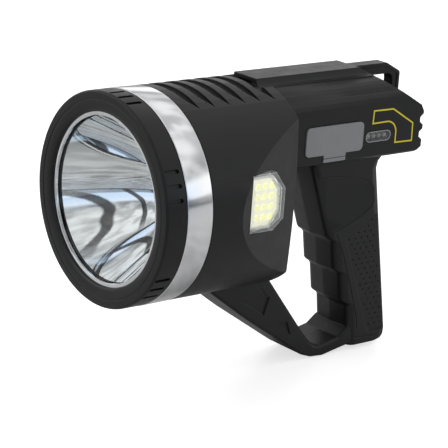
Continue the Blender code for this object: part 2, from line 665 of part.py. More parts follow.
def box_side_outline(inset):
    """Side view of the rear box: sloping rear top, two scallops in the rear wall and a bevelled foot."""
    front = BARREL_REAR_Y - 40.0 * MM
    top = SPINE_TOP_Z + OVERSHOOT
    lean = sqrt(1.0 + CHAMFER_SLOPE**2)
    lift = inset * lean

    def slope_z(y):
        return SPINE_TOP_Z - CHAMFER_SLOPE * (y - CHAMFER_START_Y) - lift

    rear = BOX_REAR_Y - inset
    outline = [(front, top)]
    outline += [(CHAMFER_START_Y - OVERSHOOT / CHAMFER_SLOPE, slope_z(CHAMFER_START_Y - OVERSHOOT / CHAMFER_SLOPE))]
    outline += [(CHAMFER_END_Y - inset, slope_z(CHAMFER_END_Y - inset)), (rear, REAR_TOP_Z - lift / 2.0)]
    if inset > 0.0:
        inner = REAR_WALL_INNER_Y
        outline[-2:] = [(inner, slope_z(inner)), (inner, FLOOR_Z - OVERSHOOT)]
    else:
        for z in (UPPER_SCALLOP_Z, LOWER_SCALLOP_Z):
            half = SCALLOP_HEIGHT / 2.0
            outline += [(rear, z + half + SCALLOP_LEAD / 2.0), (rear - SCALLOP_DEPTH, z + half - SCALLOP_LEAD / 2.0),
                        (rear - SCALLOP_DEPTH, z - half + SCALLOP_LEAD / 2.0), (rear, z - half - SCALLOP_LEAD / 2.0)]
        outline += [(rear, BOX_BOTTOM_Z + REAR_FOOT_HEIGHT), (rear - 1.4 * REAR_FOOT_HEIGHT, BOX_BOTTOM_Z),
                    (rear - 1.4 * REAR_FOOT_HEIGHT, BOX_BOTTOM_Z - OVERSHOOT)]
    outline += [(front, outline[-1][1])]
    return outline


def loop_solid():
    """Hanging loop: a bent plate on the middle plane, with its hole."""
    root = CHAMFER_START_Y - 4.0 * MM
    corners = [(root, LOOP_TOP_Z - 8.0 * MM), (root, LOOP_TOP_Z), (LOOP_CORNER_Y, LOOP_TOP_Z),
               (LOOP_REAR_Y, LOOP_CORNER_Z), (LOOP_REAR_Y, CHAMFER_END_Z - 4.0 * MM),
               (LOOP_REAR_Y - LOOP_REAR_BAR - 4.0 * MM, CHAMFER_END_Z - 4.0 * MM)]
    inner_top = LOOP_TOP_Z - LOOP_TOP_BAR
    inner_rear = LOOP_REAR_Y - LOOP_REAR_BAR
    low_z = SPINE_TOP_Z - CHAMFER_SLOPE * (inner_rear - CHAMFER_START_Y)
    high_y = CHAMFER_START_Y + (SPINE_TOP_Z - inner_top) / CHAMFER_SLOPE
    corners += [(inner_rear, low_z - 2.0 * MM), (inner_rear, inner_top), (high_y - 3.0 * MM, inner_top)]
    outline = rounded(corners, [0, 0, 3.0 * MM, 2.0 * MM, 0, 0, 0, 4.0 * MM, 0], 3)
    return extruded(outline, "X", -LOOP_HALF_WIDTH, LOOP_HALF_WIDTH)


def grip_front(z):
    """Front of the grip at a height: a straight upper strip, then finger steps above long lobes."""
    y = GRIP_FRONT_TOP_Y + GRIP_FRONT_SLOPE * -max(z, FIRST_STEP_Z)
    drop = FIRST_STEP_Z - z
    step = 0
    while drop > 0.0 and step < STEP_COUNT:
        quick = min(drop, STEP_HEIGHT)
        y += STEP_DEPTH * (0.5 - 0.5 * cos(pi * quick / STEP_HEIGHT))
        y += LOBE_SLOPE * max(0.0, min(drop, STEP_PITCH) - STEP_HEIGHT)
        drop -= STEP_PITCH
        step += 1
    return y


def grip_rear(z):
    """Back of the grip at a height, flaring into the underside of the box."""
    y = GRIP_REAR_TOP_Y - GRIP_REAR_SLOPE * min(z, 0.0)
    start = BOX_BOTTOM_Z - GRIP_REAR_FILLET
    if z > start:
        rise = min(z - start, GRIP_REAR_FILLET)
        y += GRIP_REAR_FILLET - sqrt(GRIP_REAR_FILLET**2 - rise**2)
    heel = GRIP_BASE_Z + GRIP_HEEL_RADIUS - z
    if heel > 0.0:
        y -= GRIP_HEEL_RADIUS - sqrt(max(0.0, GRIP_HEEL_RADIUS**2 - heel**2))
    return y


def grip_ring(z, inset):
    """One level cross-section of the grip: ridged front, round corners and flat sides."""
    steps = GRIP_HOLLOW_STEPS if inset > 0.0 else GRIP_CORNER_STEPS
    half = GRIP_HALF_WIDTH - inset
    front = grip_front(z) + inset
    rear = grip_rear(z) - inset
    near = max(GRIP_FRONT_CORNER - inset, 0.5 * MM)
    far = max(GRIP_REAR_CORNER - inset, 0.5 * MM)
    quarter = pi / 2.0
    right = [(0.0, front)]
    right += arc((half - near, front + near + GRIP_FRONT_RIDGE), near, -quarter, 0.0, steps)
    right += arc((half - far, rear - far), far, 0.0, quarter, steps)
    left = [(-x, y) for x, y in reversed(right[1:])]
    return [(x, y, z) for x, y in right + left]


def grip_levels(top, base, curve_steps):
    """Heights of the grip's cross-sections, closer together at the finger steps and the heel."""
    start = BOX_BOTTOM_Z - GRIP_REAR_FILLET
    parts = [i / curve_steps for i in range(curve_steps + 1)]
    levels = {top, base, BOX_BOTTOM_Z}
    levels |= {start + GRIP_REAR_FILLET * sin(pi / 2.0 * part) for part in parts[:-1]}
    for step in range(STEP_COUNT):
        head = FIRST_STEP_Z - step * STEP_PITCH
        levels |= {head - STEP_HEIGHT * part for part in parts}
    levels |= {GRIP_BASE_Z + GRIP_HEEL_RADIUS * (1.0 - cos(pi / 2.0 * part)) for part in parts[1:]}
    return sorted((z for z in levels if base <= z <= top), reverse=True)


def grip_solid(inset, top, base):
    """Loft of the grip's cross-sections, drawn in by an inset for its hollow."""
    shape = bmesh.new()
    rings = []
    for z in grip_levels(top, base, GRIP_HOLLOW_STEPS if inset > 0.0 else GRIP_CORNER_STEPS):
        rings.append([shape.verts.new(point) for point in grip_ring(z, inset)])
    for upper, lower in zip(rings, rings[1:]):
        for i in range(len(upper)):
            shape.faces.new((upper[i - 1], upper[i], lower[i], lower[i - 1]))
    shape.faces.new(rings[0])
    shape.faces.new(list(reversed(rings[-1])))
    return closed(shape)


def guard_outline():
    """Side view of the guard: a wedge under the barrel that thins to a bar and meets the grip's base."""
    base = GRIP_BASE_Z
    return rounded(
        [(GUARD_ROOT_Y, -58.0 * MM), (GUARD_ROOT_Y + 3.0 * MM, -63.5 * MM), (103.7 * MM, -84.5 * MM),
         (149.7 * MM, -114.9 * MM), (158.0 * MM, GUARD_LOWEST_Z + 0.7 * MM), (168.0 * MM, GUARD_LOWEST_Z),
         (184.8 * MM, base), (196.0 * MM, base + 2.0 * MM), (196.0 * MM, -100.0 * MM), (186.5 * MM, -103.0 * MM),
         (179.5 * MM, -108.4 * MM), (160.8 * MM, -112.0 * MM), (150.8 * MM, -101.7 * MM),
         (122.0 * MM, -65.0 * MM), (106.0 * MM, -44.5 * MM), (98.0 * MM, -44.5 * MM)],
        [0, 0, 0, 12.0 * MM, 10.0 * MM, 8.0 * MM, 0, 0, 0, 0, 4.0 * MM, 9.0 * MM, 0, 0, 0, 0], 3)


def guard_hollow_outline():
    """Room inside the guard's wedge, open to the barrel."""
    return [(84.0 * MM, -56.0 * MM), (84.0 * MM, -66.8 * MM), (106.0 * MM, -82.3 * MM), (126.0 * MM, -95.0 * MM),
            (137.0 * MM, -92.0 * MM), (120.0 * MM, -67.0 * MM), (107.0 * MM, -50.0 * MM), (107.0 * MM, -40.0 * MM)]


def groove_cutter(index):
    """One cooling groove: a transverse slot that tapers to a point at each end and follows the barrel."""
    rear = GROOVE_FIRST_REAR_Y + index * GROOVE_PITCH
    front = rear - GROOVE_WIDTH
    outline = [(-GROOVE_TIP_X, rear), (-GROOVE_FULL_X, front), (GROOVE_FULL_X, front), (GROOVE_TIP_X, rear)]
    return extruded(outline, "Z", BARREL_RADIUS - 18.0 * MM, BARREL_RADIUS + OVERSHOOT)


def cove_cutter(side):
    """Run-out of a spine cove into the barrel, up to the last groove."""
    cove = (SPINE_HALF_WIDTH + COVE_RADIUS, SPINE_TOP_Z)
    outline = arc(cove, COVE_RADIUS, pi, 1.5 * pi, 5)
    outline += [(cove[0] + 2.2 * MM, SPINE_TOP_Z - COVE_RADIUS + 2.6 * MM), (cove[0] + 2.2 * MM, SPINE_TOP_Z + OVERSHOOT),
                (SPINE_HALF_WIDTH, SPINE_TOP_Z + OVERSHOOT)]
    outline = outline if side > 0 else mirrored(outline)
    return extruded(outline, "Y", GROOVE_LAST_REAR_Y - GROOVE_WIDTH / 2.0, BARREL_REAR_Y + OVERSHOOT)


def boss_solid(place):
    """Round post across the housing for one screw."""
    return rod("X", place, BOSS_RADIUS, -BOX_HALF_WIDTH, BOX_HALF_WIDTH, BOSS_SIDES)


def screw_hole(place):
    """Counterbored hole for one screw, entered from the left."""
    seat = -SCREW_SEAT_X
    shank = SCREW_SHANK_RADIUS + GAP
    head = SCREW_HEAD_RADIUS + GAP
    hole = revolved([(0.0, -BOX_HALF_WIDTH - OVERSHOOT), (head, -BOX_HALF_WIDTH - OVERSHOOT), (head, seat),
                     (shank, seat), (shank, SCREW_REACH_X + GAP), (0.0, SCREW_REACH_X + GAP)], SCREW_SEGMENTS)
    return laid_along_x(hole, place)


def laid_along_x(shape, place):
    """Turn a shape made about Y so that it runs along X through a place in Y and Z."""
    bmesh.ops.rotate(shape, verts=shape.verts, cent=(0, 0, 0), matrix=Matrix.Rotation(-pi / 2.0, 3, "Z"))
    bmesh.ops.translate(shape, verts=shape.verts, vec=(0.0, place[0], place[1]))
    return shape


def bulkhead(shop, finish):
    """Web across the barrel that carries the heat sink, cut back behind the side lamp."""
    outer = BARREL_RADIUS + OVERSHOOT
    rear = BULKHEAD_Y + BULKHEAD_THICKNESS
    web = shop.tool("bulkhead_form", revolved([(BULKHEAD_HOLE_RADIUS, BULKHEAD_Y), (outer, BULKHEAD_Y),
                                               (outer, rear), (BULKHEAD_HOLE_RADIUS, rear)], INNER_SEGMENTS), finish)
    clear = behind_facet(-OVERSHOOT, LAMP_CLEAR_DEPTH + OVERSHOOT, lamp_plan(LAMP_FLANGE + 4.0 * GAP))
    combine(web, shop.tool("lamp_clearance", clear, finish), "DIFFERENCE")
    return web


def rail_solid(y):
    """Rib from the right wall along the box floor, beside and below the foot of the main board."""
    top = FLOOR_Z + BOARD_SLOT_DEPTH
    outer = MAIN_BOARD_X + BOARD_THICKNESS + GAP
    outline = [(MAIN_BOARD_X - BOARD_RAIL, BOX_BOTTOM_Z), (BOX_HALF_WIDTH, BOX_BOTTOM_Z), (BOX_HALF_WIDTH, top),
               (outer, top), (outer, FLOOR_Z + BOARD_FOOT), (MAIN_BOARD_X - GAP, FLOOR_Z + BOARD_FOOT),
               (MAIN_BOARD_X - GAP, top), (MAIN_BOARD_X - BOARD_RAIL, top)]
    return extruded(outline, "Y", y - BOARD_RAIL / 2.0, y + BOARD_RAIL / 2.0)


def holder_rib():
    """Rib across the mouth of the grip that carries the rear of the battery holder."""
    rear = CELL_FRONT_Y + CELL_LENGTH
    return block((-BOX_HALF_WIDTH, rear - BOARD_RAIL, BOX_BOTTOM_Z + WALL / 2.0),
                 (BOX_HALF_WIDTH, rear, FLOOR_Z - HOLDER_RIB_DROP))


def housing_blank(shop, finish):
    """Both halves in one: the outer form, hollowed, with grooves, web and screw posts."""
    blank = shop.tool("housing_blank", barrel_solid(), finish)
    box = shop.tool("box_form", extruded(box_section(), "Y", GROOVE_LAST_REAR_Y, BOX_REAR_Y + OVERSHOOT), finish)
    side = extruded(box_side_outline(0.0), "X", -BOX_HALF_WIDTH - OVERSHOOT, BOX_HALF_WIDTH + OVERSHOOT)
    combine(box, shop.tool("box_side_form", side, finish), "INTERSECT")
    combine(blank, shop.tool("side_facets", both_facets(0.0), finish), "DIFFERENCE")
    coves = joined(cove_cutter(1), cove_cutter(-1))
    combine(blank, shop.tool("cove_runouts", coves, finish), "DIFFERENCE")
    combine(blank, box, "UNION")
    grip = shop.tool("grip_form", grip_solid(0.0, GRIP_TOP_Z, GRIP_BASE_Z), finish)
    combine(blank, grip, "UNION")
    guard = extruded(guard_outline(), "X", -GUARD_HALF_WIDTH, GUARD_HALF_WIDTH)
    rims = [edge for edge in guard.edges if abs(edge.verts[0].co.x - edge.verts[1].co.x) < MM * 0.1]
    bmesh.ops.bevel(guard, geom=rims, offset=GUARD_EDGE, offset_type="OFFSET", segments=1, profile=0.5,
                    affect="EDGES", material=-1)
    combine(blank, shop.tool("guard_form", guard, finish), "UNION")
    combine(blank, shop.tool("loop_form", loop_solid(), finish), "UNION")
    grooves = shop.tool("groove_form", joined(*[groove_cutter(i) for i in range(GROOVE_COUNT)]), finish)
    core = revolved([(0.0, BARREL_FRONT_Y - OVERSHOOT), (BARREL_RADIUS - GROOVE_DEPTH, BARREL_FRONT_Y - OVERSHOOT),
                     (BARREL_RADIUS - GROOVE_DEPTH, BARREL_REAR_Y), (0.0, BARREL_REAR_Y)])
    combine(grooves, shop.tool("groove_floor", core, finish), "DIFFERENCE")
    combine(blank, grooves, "DIFFERENCE")
    combine(blank, housing_hollow(shop, finish), "DIFFERENCE", HOUSING_SOLVER)
    holes = shop.tool("screw_holes", joined(*[screw_hole(place) for place in SCREW_PLACES]), finish)
    combine(blank, holes, "DIFFERENCE", HOUSING_SOLVER)
    return blank


def housing_hollow(shop, finish):
    """The room inside the housing, one connected space."""
    hollow = shop.tool("hollow_form", barrel_hollow(), finish)
    combine(hollow, shop.tool("side_facets_inside", both_facets(WALL), finish), "DIFFERENCE")
    room = shop.tool("box_room", extruded(box_hollow_section(), "Y", BARREL_REAR_Y - 8.0 * MM, BOX_REAR_Y), finish)
    side = extruded(box_side_outline(WALL), "X", -BOX_HALF_WIDTH, BOX_HALF_WIDTH)
    combine(room, shop.tool("box_room_side", side, finish), "INTERSECT")
    combine(hollow, room, "UNION")
    grip = grip_solid(WALL, GRIP_TOP_Z + OVERSHOOT, GRIP_BASE_Z + WALL)
    combine(hollow, shop.tool("grip_room", grip, finish), "UNION")
    guard = extruded(guard_hollow_outline(), "X", -GUARD_HALF_WIDTH + WALL, GUARD_HALF_WIDTH - WALL)
    combine(hollow, shop.tool("guard_room", guard, finish), "UNION")
    combine(hollow, bulkhead(shop, finish), "DIFFERENCE", HOUSING_SOLVER)
    kept = {
        "holder_rib_form": holder_rib(),
        "board_rails": joined(rail_solid(MAIN_BOARD_FRONT_Y + 6.0 * MM), rail_solid(MAIN_BOARD_REAR_Y - 6.0 * MM)),
        "port_pad": port_pad(),
        "screw_posts": joined(*[boss_solid(place) for place in SCREW_PLACES]),
    }
    for name, shape in kept.items():
        combine(hollow, shop.tool(name, shape, finish), "DIFFERENCE", HOUSING_SOLVER)
    return hollow


def port_pad():
    """Thicker wall behind the port cover."""
    low = (PORT_PAD_X, COVER_FRONT_Y - PORT_PAD_MARGIN, BOX_BOTTOM_Z)
    high = (BOX_HALF_WIDTH, COVER_REAR_Y + PORT_PAD_MARGIN, COVER_TOP_Z + PORT_PAD_MARGIN)
    return block(low, high)


def half_space(side):
    """Everything on one side of the parting plane."""
    near = GAP / 2.0 * side
    far = 80.0 * MM * side
    low, high = min(near, far), max(near, far)
    return block((low, -20.0 * MM, -140.0 * MM), (high, 250.0 * MM, 90.0 * MM))


def housing_half(shop, name, blank, side, finish):
    """One half of the clamshell."""
    half = shop.piece(name, half_space(side), finish)
    combine(half, blank, "INTERSECT", HOUSING_SOLVER)
    return half


def housing_right(shop, blank, finish):
    """Right half: openings for the side lamp, the ports, their cover and the charge gauge."""
    half = housing_half(shop, "housing_right", blank, 1, finish)
    combine(half, shop.tool("lamp_opening", lamp_opening(), finish), "DIFFERENCE", HOUSING_SOLVER)
    recess = cover_plate(GAP, BOX_HALF_WIDTH - COVER_RECESS, BOX_HALF_WIDTH + OVERSHOOT)
    combine(half, shop.tool("cover_recess", recess, finish), "DIFFERENCE", HOUSING_SOLVER)
    for name, y, width, height in (("usb_hole", USB_Y, USB_WIDTH, USB_HEIGHT),
                                   ("charge_hole", CHARGE_Y, CHARGE_WIDTH, CHARGE_HEIGHT)):
        outline = slab(width + 2.0 * GAP, height + 2.0 * GAP, 1.0 * MM, (y, PORT_Z))
        hole = extruded(outline, "X", PORT_PAD_X - OVERSHOOT, BOX_HALF_WIDTH + OVERSHOOT)
        combine(half, shop.tool(name, hole, finish), "DIFFERENCE", HOUSING_SOLVER)
    anchor = anchor_block(GAP)
    combine(half, shop.tool("anchor_hole", anchor, finish), "DIFFERENCE", HOUSING_SOLVER)
    gauge = extruded(slab(GAUGE_LENGTH + 2.0 * GAP, GAUGE_HEIGHT + 2.0 * GAP, GAUGE_HEIGHT, (GAUGE_Y, GAUGE_Z)), "X",
                     INNER_WALL_X - OVERSHOOT, BOX_HALF_WIDTH + OVERSHOOT)
    combine(half, shop.tool("gauge_hole", gauge, finish), "DIFFERENCE", HOUSING_SOLVER)
    combine(half, shop.tool("button_holes_right", button_holes(), finish), "DIFFERENCE", HOUSING_SOLVER)
    return half


def housing_left(shop, blank, finish):
    """Left half: plain outside but for the screw holes."""
    half = housing_half(shop, "housing_left", blank, -1, finish)
    combine(half, shop.tool("button_holes_left", button_holes(), finish), "DIFFERENCE", HOUSING_SOLVER)
    return half


def button_holes():
    """Openings for both rear buttons."""
    holes = []
    for z in (UPPER_SCALLOP_Z, LOWER_SCALLOP_Z):
        outline = slab(BUTTON_WIDTH + 2.0 * GAP, BUTTON_HEIGHT + 2.0 * GAP, BUTTON_HEIGHT, (0.0, z))
        holes.append(extruded(outline, "Y", REAR_WALL_INNER_Y - OVERSHOOT / 2.0, BOX_REAR_Y + OVERSHOOT))
    return joined(*holes)


# Side lamp


def lamp_hull(wall):
    """Outer form of the side lamp's cover: a three-faceted face with bevelled rear corners."""
    foot_x = SIDE_FACET_X - 10.0 * MM
    face = LAMP_FACE_X - wall
    shoulder = LAMP_SHOULDER_X - wall * 0.6
    front = LAMP_FRONT_Y + wall
    face_rear = LAMP_FACE_REAR_Y - wall * 0.6
    rear = LAMP_REAR_Y - wall
    tall = LAMP_HALF_HEIGHT - wall
    low = LAMP_FACE_HALF_HEIGHT - wall * 0.2
    shape = bmesh.new()
    for side in (-1, 1):
        z = LAMP_CENTRE_Z + side * low
        shape.verts.new((face, front, z))
        shape.verts.new((face, face_rear, z))
        z = LAMP_CENTRE_Z + side * tall
        shape.verts.new((shoulder, front, z))
        shape.verts.new((shoulder, rear - LAMP_REAR_CORNER, z))
        shape.verts.new((shoulder, rear, z - side * LAMP_REAR_CORNER * 1.3))
        shape.verts.new((foot_x, front, z))
        shape.verts.new((foot_x, rear - LAMP_REAR_CORNER, z))
        shape.verts.new((foot_x, rear, z - side * LAMP_REAR_CORNER * 1.3))
    hull = bmesh.ops.convex_hull(shape, input=shape.verts)
    loose = [v for v in hull["geom_interior"] if isinstance(v, bmesh.types.BMVert)]
    bmesh.ops.delete(shape, geom=loose, context="VERTS")
    bmesh.ops.dissolve_limit(shape, angle_limit=radians(1.0), verts=shape.verts, edges=shape.edges)
    return closed(shape)


def lamp_opening():
    """Hole in the right half for the side lamp's cover."""
    outline = lamp_plan(GAP)
    return extruded(outline, "X", SIDE_FACET_X - 6.0 * MM, BARREL_RADIUS + OVERSHOOT)


def lamp_plan(grow):
    """Outline of the side lamp's cover seen square to the middle plane."""
    low = LAMP_CENTRE_Z - LAMP_HALF_HEIGHT - grow
    high = LAMP_CENTRE_Z + LAMP_HALF_HEIGHT + grow
    front = LAMP_FRONT_Y - grow
    rear = LAMP_REAR_Y + grow
    corner = LAMP_REAR_CORNER
    return [(front, low), (rear - corner, low), (rear, low + corner * 1.3), (rear, high - corner * 1.3),
            (rear - corner, high), (front, high)]


def behind_facet(depth, thickness, outline):
    """Plate that follows the slanting facet: its outer face lies a depth under the facet's surface."""
    lean = sqrt(1.0 + SIDE_FACET_SLOPE**2)
    shape = bmesh.new()
    rings = []
    for shift in (depth * lean, (depth + thickness) * lean):
        rings.append([shape.verts.new((facet_x(y) - shift, y, z)) for y, z in outline])
    count = len(outline)
    for i in range(count):
        shape.faces.new((rings[0][i - 1], rings[0][i], rings[1][i], rings[1][i - 1]))
    shape.faces.new(rings[0])
    shape.faces.new(list(reversed(rings[1])))
    return closed(shape)


def flange_plate(shop, name, depth, thickness, finish):
    """Plate behind the facet for a flange of the side lamp, trimmed to the barrel's bore."""
    plate = shop.tool(name, behind_facet(depth, thickness, lamp_plan(LAMP_FLANGE)), finish)
    bore = rod("Y", (0.0, 0.0), BARREL_RADIUS - WALL - 2.0 * GAP, LAMP_FRONT_Y - OVERSHOOT * 2.0,
               LAMP_REAR_Y + OVERSHOOT * 2.0, ROUND_SEGMENTS)
    combine(plate, shop.tool(name + "_bore", bore, finish), "INTERSECT")
    return plate


def side_window(shop, finish):
    """Clear proud cover with a flange that bears on the inside of the housing."""
    window = shop.piece("side_window", lamp_hull(0.0), finish)
    below = behind_facet(WALL + GAP + LAMP_FLANGE_THICKNESS, 40.0 * MM, lamp_plan(10.0 * MM))
    combine(window, shop.tool("window_foot", below, finish), "DIFFERENCE")
    flange = flange_plate(shop, "window_flange", WALL + GAP, LAMP_FLANGE_THICKNESS, finish)
    combine(window, flange, "UNION")
    combine(window, shop.tool("window_room", lamp_hull(LAMP_WALL), finish), "DIFFERENCE")
    return window


def tray_block(inset, floor_x, rim_x):
    """Straight-sided block inside the side lamp's cover."""
    shrink = LAMP_WALL + GAP + inset
    return extruded(lamp_plan(-shrink), "X", floor_x, rim_x)


def side_tray(shop, finish):
    """Silvered tray: a rim in the cover, a floor for the board and a back plate under the cover's flange."""
    depth = WALL + GAP + LAMP_FLANGE_THICKNESS + GAP
    tray = shop.piece("side_tray", tray_block(0.0, SIDE_FACET_X - 4.0 * MM, TRAY_RIM_X), finish)
    below = behind_facet(depth + TRAY_WALL / 2.0, 40.0 * MM, lamp_plan(10.0 * MM))
    combine(tray, shop.tool("tray_foot", below, finish), "DIFFERENCE")
    combine(tray, flange_plate(shop, "tray_flange", depth, TRAY_WALL, finish), "UNION")
    combine(tray, shop.tool("tray_room", tray_block(TRAY_WALL, TRAY_FLOOR_X, LAMP_FACE_X), finish), "DIFFERENCE")
    return tray


def side_led_board(shop, finish):
    """Board with rows of chips, lying on the tray's floor."""
    board = shop.piece("side_led_board", tray_block(TRAY_WALL + GAP, TRAY_FLOOR_X + GAP,
                                                    TRAY_FLOOR_X + GAP + BOARD_THICKNESS), finish)
    top = TRAY_FLOOR_X + GAP + BOARD_THICKNESS
    middle_y = (LAMP_FRONT_Y + LAMP_FACE_REAR_Y) / 2.0
    half = CHIP_SIDE / 2.0
    chips = []
    for row in range(CHIP_ROWS):
        for column in range(CHIP_COLUMNS):
            y = middle_y + (column - (CHIP_COLUMNS - 1) / 2.0) * CHIP_COLUMN_PITCH
            z = LAMP_CENTRE_Z + (row - (CHIP_ROWS - 1) / 2.0) * CHIP_ROW_PITCH
            chips.append(block((top - 0.5 * MM, y - half, z - half), (top + CHIP_THICKNESS, y + half, z + half)))
    combine(board, shop.tool("chip_form", joined(*chips), finish), "UNION")
    return board


# Ports, gauge and power


def cover_plate(grow, low, high):
    """Plate with the outline of the port cover and its tab."""
    tab = COVER_TAB_BOTTOM_Z - grow
    front, rear = COVER_FRONT_Y - grow, COVER_REAR_Y + grow
    bottom, top = COVER_BOTTOM_Z - grow, COVER_TOP_Z + grow
    corners = [(front, bottom), (COVER_TAB_FRONT_Y - grow, bottom), (COVER_TAB_FRONT_Y - grow, tab),
               (COVER_TAB_REAR_Y + grow, tab), (COVER_TAB_REAR_Y + grow, bottom), (rear, bottom), (rear, top),
               (front, top)]
    radii = [COVER_CORNER, 0, 0, 0, 0, COVER_CORNER, COVER_CORNER, COVER_CORNER]
    return extruded(rounded(corners, radii), "X", low, high)


def port_cover(shop, finish):
    """Rubber flap over the ports: a plate with two shallow plugs, turning on the outer edge of its tab."""
    low = BOX_HALF_WIDTH - COVER_RECESS + GAP
    high = BOX_HALF_WIDTH + COVER_PROUD
    pivot = (high, (COVER_FRONT_Y + COVER_REAR_Y) / 2.0, COVER_HINGE_Z)
    flap = shop.piece("port_cover", cover_plate(0.0, low, high), finish, pivot)
    strip = block((low - OVERSHOOT, COVER_TAB_FRONT_Y - OVERSHOOT, COVER_TAB_BOTTOM_Z - OVERSHOOT),
                  (high + OVERSHOOT, COVER_TAB_REAR_Y + OVERSHOOT, COVER_HINGE_Z + GAP / 2.0))
    combine(flap, shop.tool("tab_trim", strip, finish), "DIFFERENCE")
    plugs = []
    for y, width, height in ((USB_Y, USB_WIDTH, USB_HEIGHT), (CHARGE_Y, CHARGE_WIDTH, CHARGE_HEIGHT)):
        half = width / 2.0 - SOCKET_WALL - PLUG_CLEARANCE
        tall = height / 2.0 - SOCKET_WALL - PLUG_CLEARANCE
        plugs.append(block((low - COVER_PLUG_DEPTH, y - half, PORT_Z - tall),
                           ((low + high) / 2.0, y + half, PORT_Z + tall)))
    combine(flap, shop.tool("cover_plugs", joined(*plugs), finish), "UNION")
    return flap


def anchor_block(grow):
    """Root of the cover's tab, held in the housing wall."""
    low = PORT_PAD_X + 0.8 * MM - grow
    return block((low, COVER_TAB_FRONT_Y + 2.0 * MM - grow, COVER_TAB_BOTTOM_Z + 0.6 * MM - grow),
                 (BOX_HALF_WIDTH - COVER_RECESS + GAP + 0.4 * MM, COVER_TAB_REAR_Y - 2.0 * MM + grow,
                  COVER_HINGE_Z - GAP / 2.0 + grow))


def port_cover_anchor(shop, finish):
    """Fixed lower end of the rubber tab with its root."""
    low = BOX_HALF_WIDTH - COVER_RECESS + GAP
    high = BOX_HALF_WIDTH + COVER_PROUD
    strip = block((low, COVER_TAB_FRONT_Y, COVER_TAB_BOTTOM_Z), (high, COVER_TAB_REAR_Y, COVER_HINGE_Z - GAP / 2.0))
    anchor = shop.piece("port_cover_anchor", strip, finish)
    combine(anchor, shop.tool("anchor_root", anchor_block(0.0), finish), "UNION")
    return anchor


def socket(shop, name, y, width, height, tongue, finish):
    """Metal-shelled socket that stands on the main board and opens outwards."""
    low = MAIN_BOARD_X + BOARD_THICKNESS + GAP
    high = BOX_HALF_WIDTH - COVER_RECESS - GAP
    shell = shop.piece(name, extruded(slab(width, height, 0.8 * MM, (y, PORT_Z)), "X", low, high), finish)
    mouth = extruded(slab(width - 2.0 * SOCKET_WALL, height - 2.0 * SOCKET_WALL, 0.6 * MM, (y, PORT_Z)), "X",
                     low + 3.0 * MM, high + OVERSHOOT)
    combine(shell, shop.tool(name + "_mouth", mouth, finish), "DIFFERENCE")
    half = (width - 2.0 * SOCKET_WALL) / 2.0 - 1.2 * MM
    front = BOX_HALF_WIDTH - COVER_RECESS + GAP - COVER_PLUG_DEPTH - 2.0 * GAP
    bar = block((low + 1.0 * MM, y - half, PORT_Z - tongue / 2.0), (front, y + half, PORT_Z + tongue / 2.0))
    combine(shell, shop.tool(name + "_tongue", bar, finish), "UNION")
    return shell


def main_board(shop, finish):
    """Circuit board that stands in its rails between the battery and the ports."""
    low = (MAIN_BOARD_X, MAIN_BOARD_FRONT_Y, FLOOR_Z + BOARD_FOOT + GAP)
    high = (MAIN_BOARD_X + BOARD_THICKNESS, MAIN_BOARD_REAR_Y, MAIN_BOARD_TOP_Z)
    return shop.piece("main_board", block(low, high), finish)


def gauge_window(shop, finish):
    """Clear obround light window with a flange behind the wall."""
    high = BOX_HALF_WIDTH + GAUGE_PROUD
    outline = slab(GAUGE_LENGTH, GAUGE_HEIGHT, GAUGE_HEIGHT, (GAUGE_Y, GAUGE_Z))
    window = shop.piece("gauge_window", extruded(outline, "X", INNER_WALL_X - GAP - 0.5 * MM, high), finish)
    edge = slab(GAUGE_LENGTH + 3.0 * MM, GAUGE_HEIGHT + 3.0 * MM, GAUGE_HEIGHT, (GAUGE_Y, GAUGE_Z))
    flange = extruded(edge, "X", INNER_WALL_X - GAP - GAUGE_FLANGE, INNER_WALL_X - GAP)
    combine(window, shop.tool("gauge_flange", flange, finish), "UNION")
    return window


def gauge_board(shop, finish):
    """Small board with the four charge lights, close behind the gauge window."""
    high = INNER_WALL_X - GAP - GAUGE_FLANGE - GAP
    lights_low = high - 0.8 * MM
    board_low = lights_low - BOARD_THICKNESS
    outline = slab(GAUGE_LENGTH + 4.0 * MM, GAUGE_HEIGHT + 3.0 * MM, 1.0 * MM, (GAUGE_Y, GAUGE_Z))
    board = shop.piece("gauge_board", extruded(outline, "X", board_low, lights_low), finish)
    half = GAUGE_LED_SIDE / 2.0
    lights = []
    for i in range(GAUGE_LED_COUNT):
        y = GAUGE_Y + (i - (GAUGE_LED_COUNT - 1) / 2.0) * GAUGE_LED_PITCH
        lights.append(block((lights_low - 0.4 * MM, y - half, GAUGE_Z - half), (high, y + half, GAUGE_Z + half)))
    combine(board, shop.tool("gauge_lights", joined(*lights), finish), "UNION")
    return board


def battery_cell(shop, name, z, finish):
    """Cylindrical cell with its raised contact."""
    rear = CELL_FRONT_Y + CELL_LENGTH
    edge = 0.6 * MM
    profile = [(0.0, CELL_FRONT_Y - CELL_CONTACT_LENGTH), (CELL_CONTACT_RADIUS, CELL_FRONT_Y - CELL_CONTACT_LENGTH),
               (CELL_CONTACT_RADIUS, CELL_FRONT_Y), (CELL_RADIUS - edge, CELL_FRONT_Y),
               (CELL_RADIUS, CELL_FRONT_Y + edge), (CELL_RADIUS, rear - edge), (CELL_RADIUS - edge, rear), (0.0, rear)]
    shape = revolved(profile, SMALL_SEGMENTS)
    bmesh.ops.translate(shape, verts=shape.verts, vec=(CELL_X, 0.0, z))
    return shop.piece(name, shape, finish)


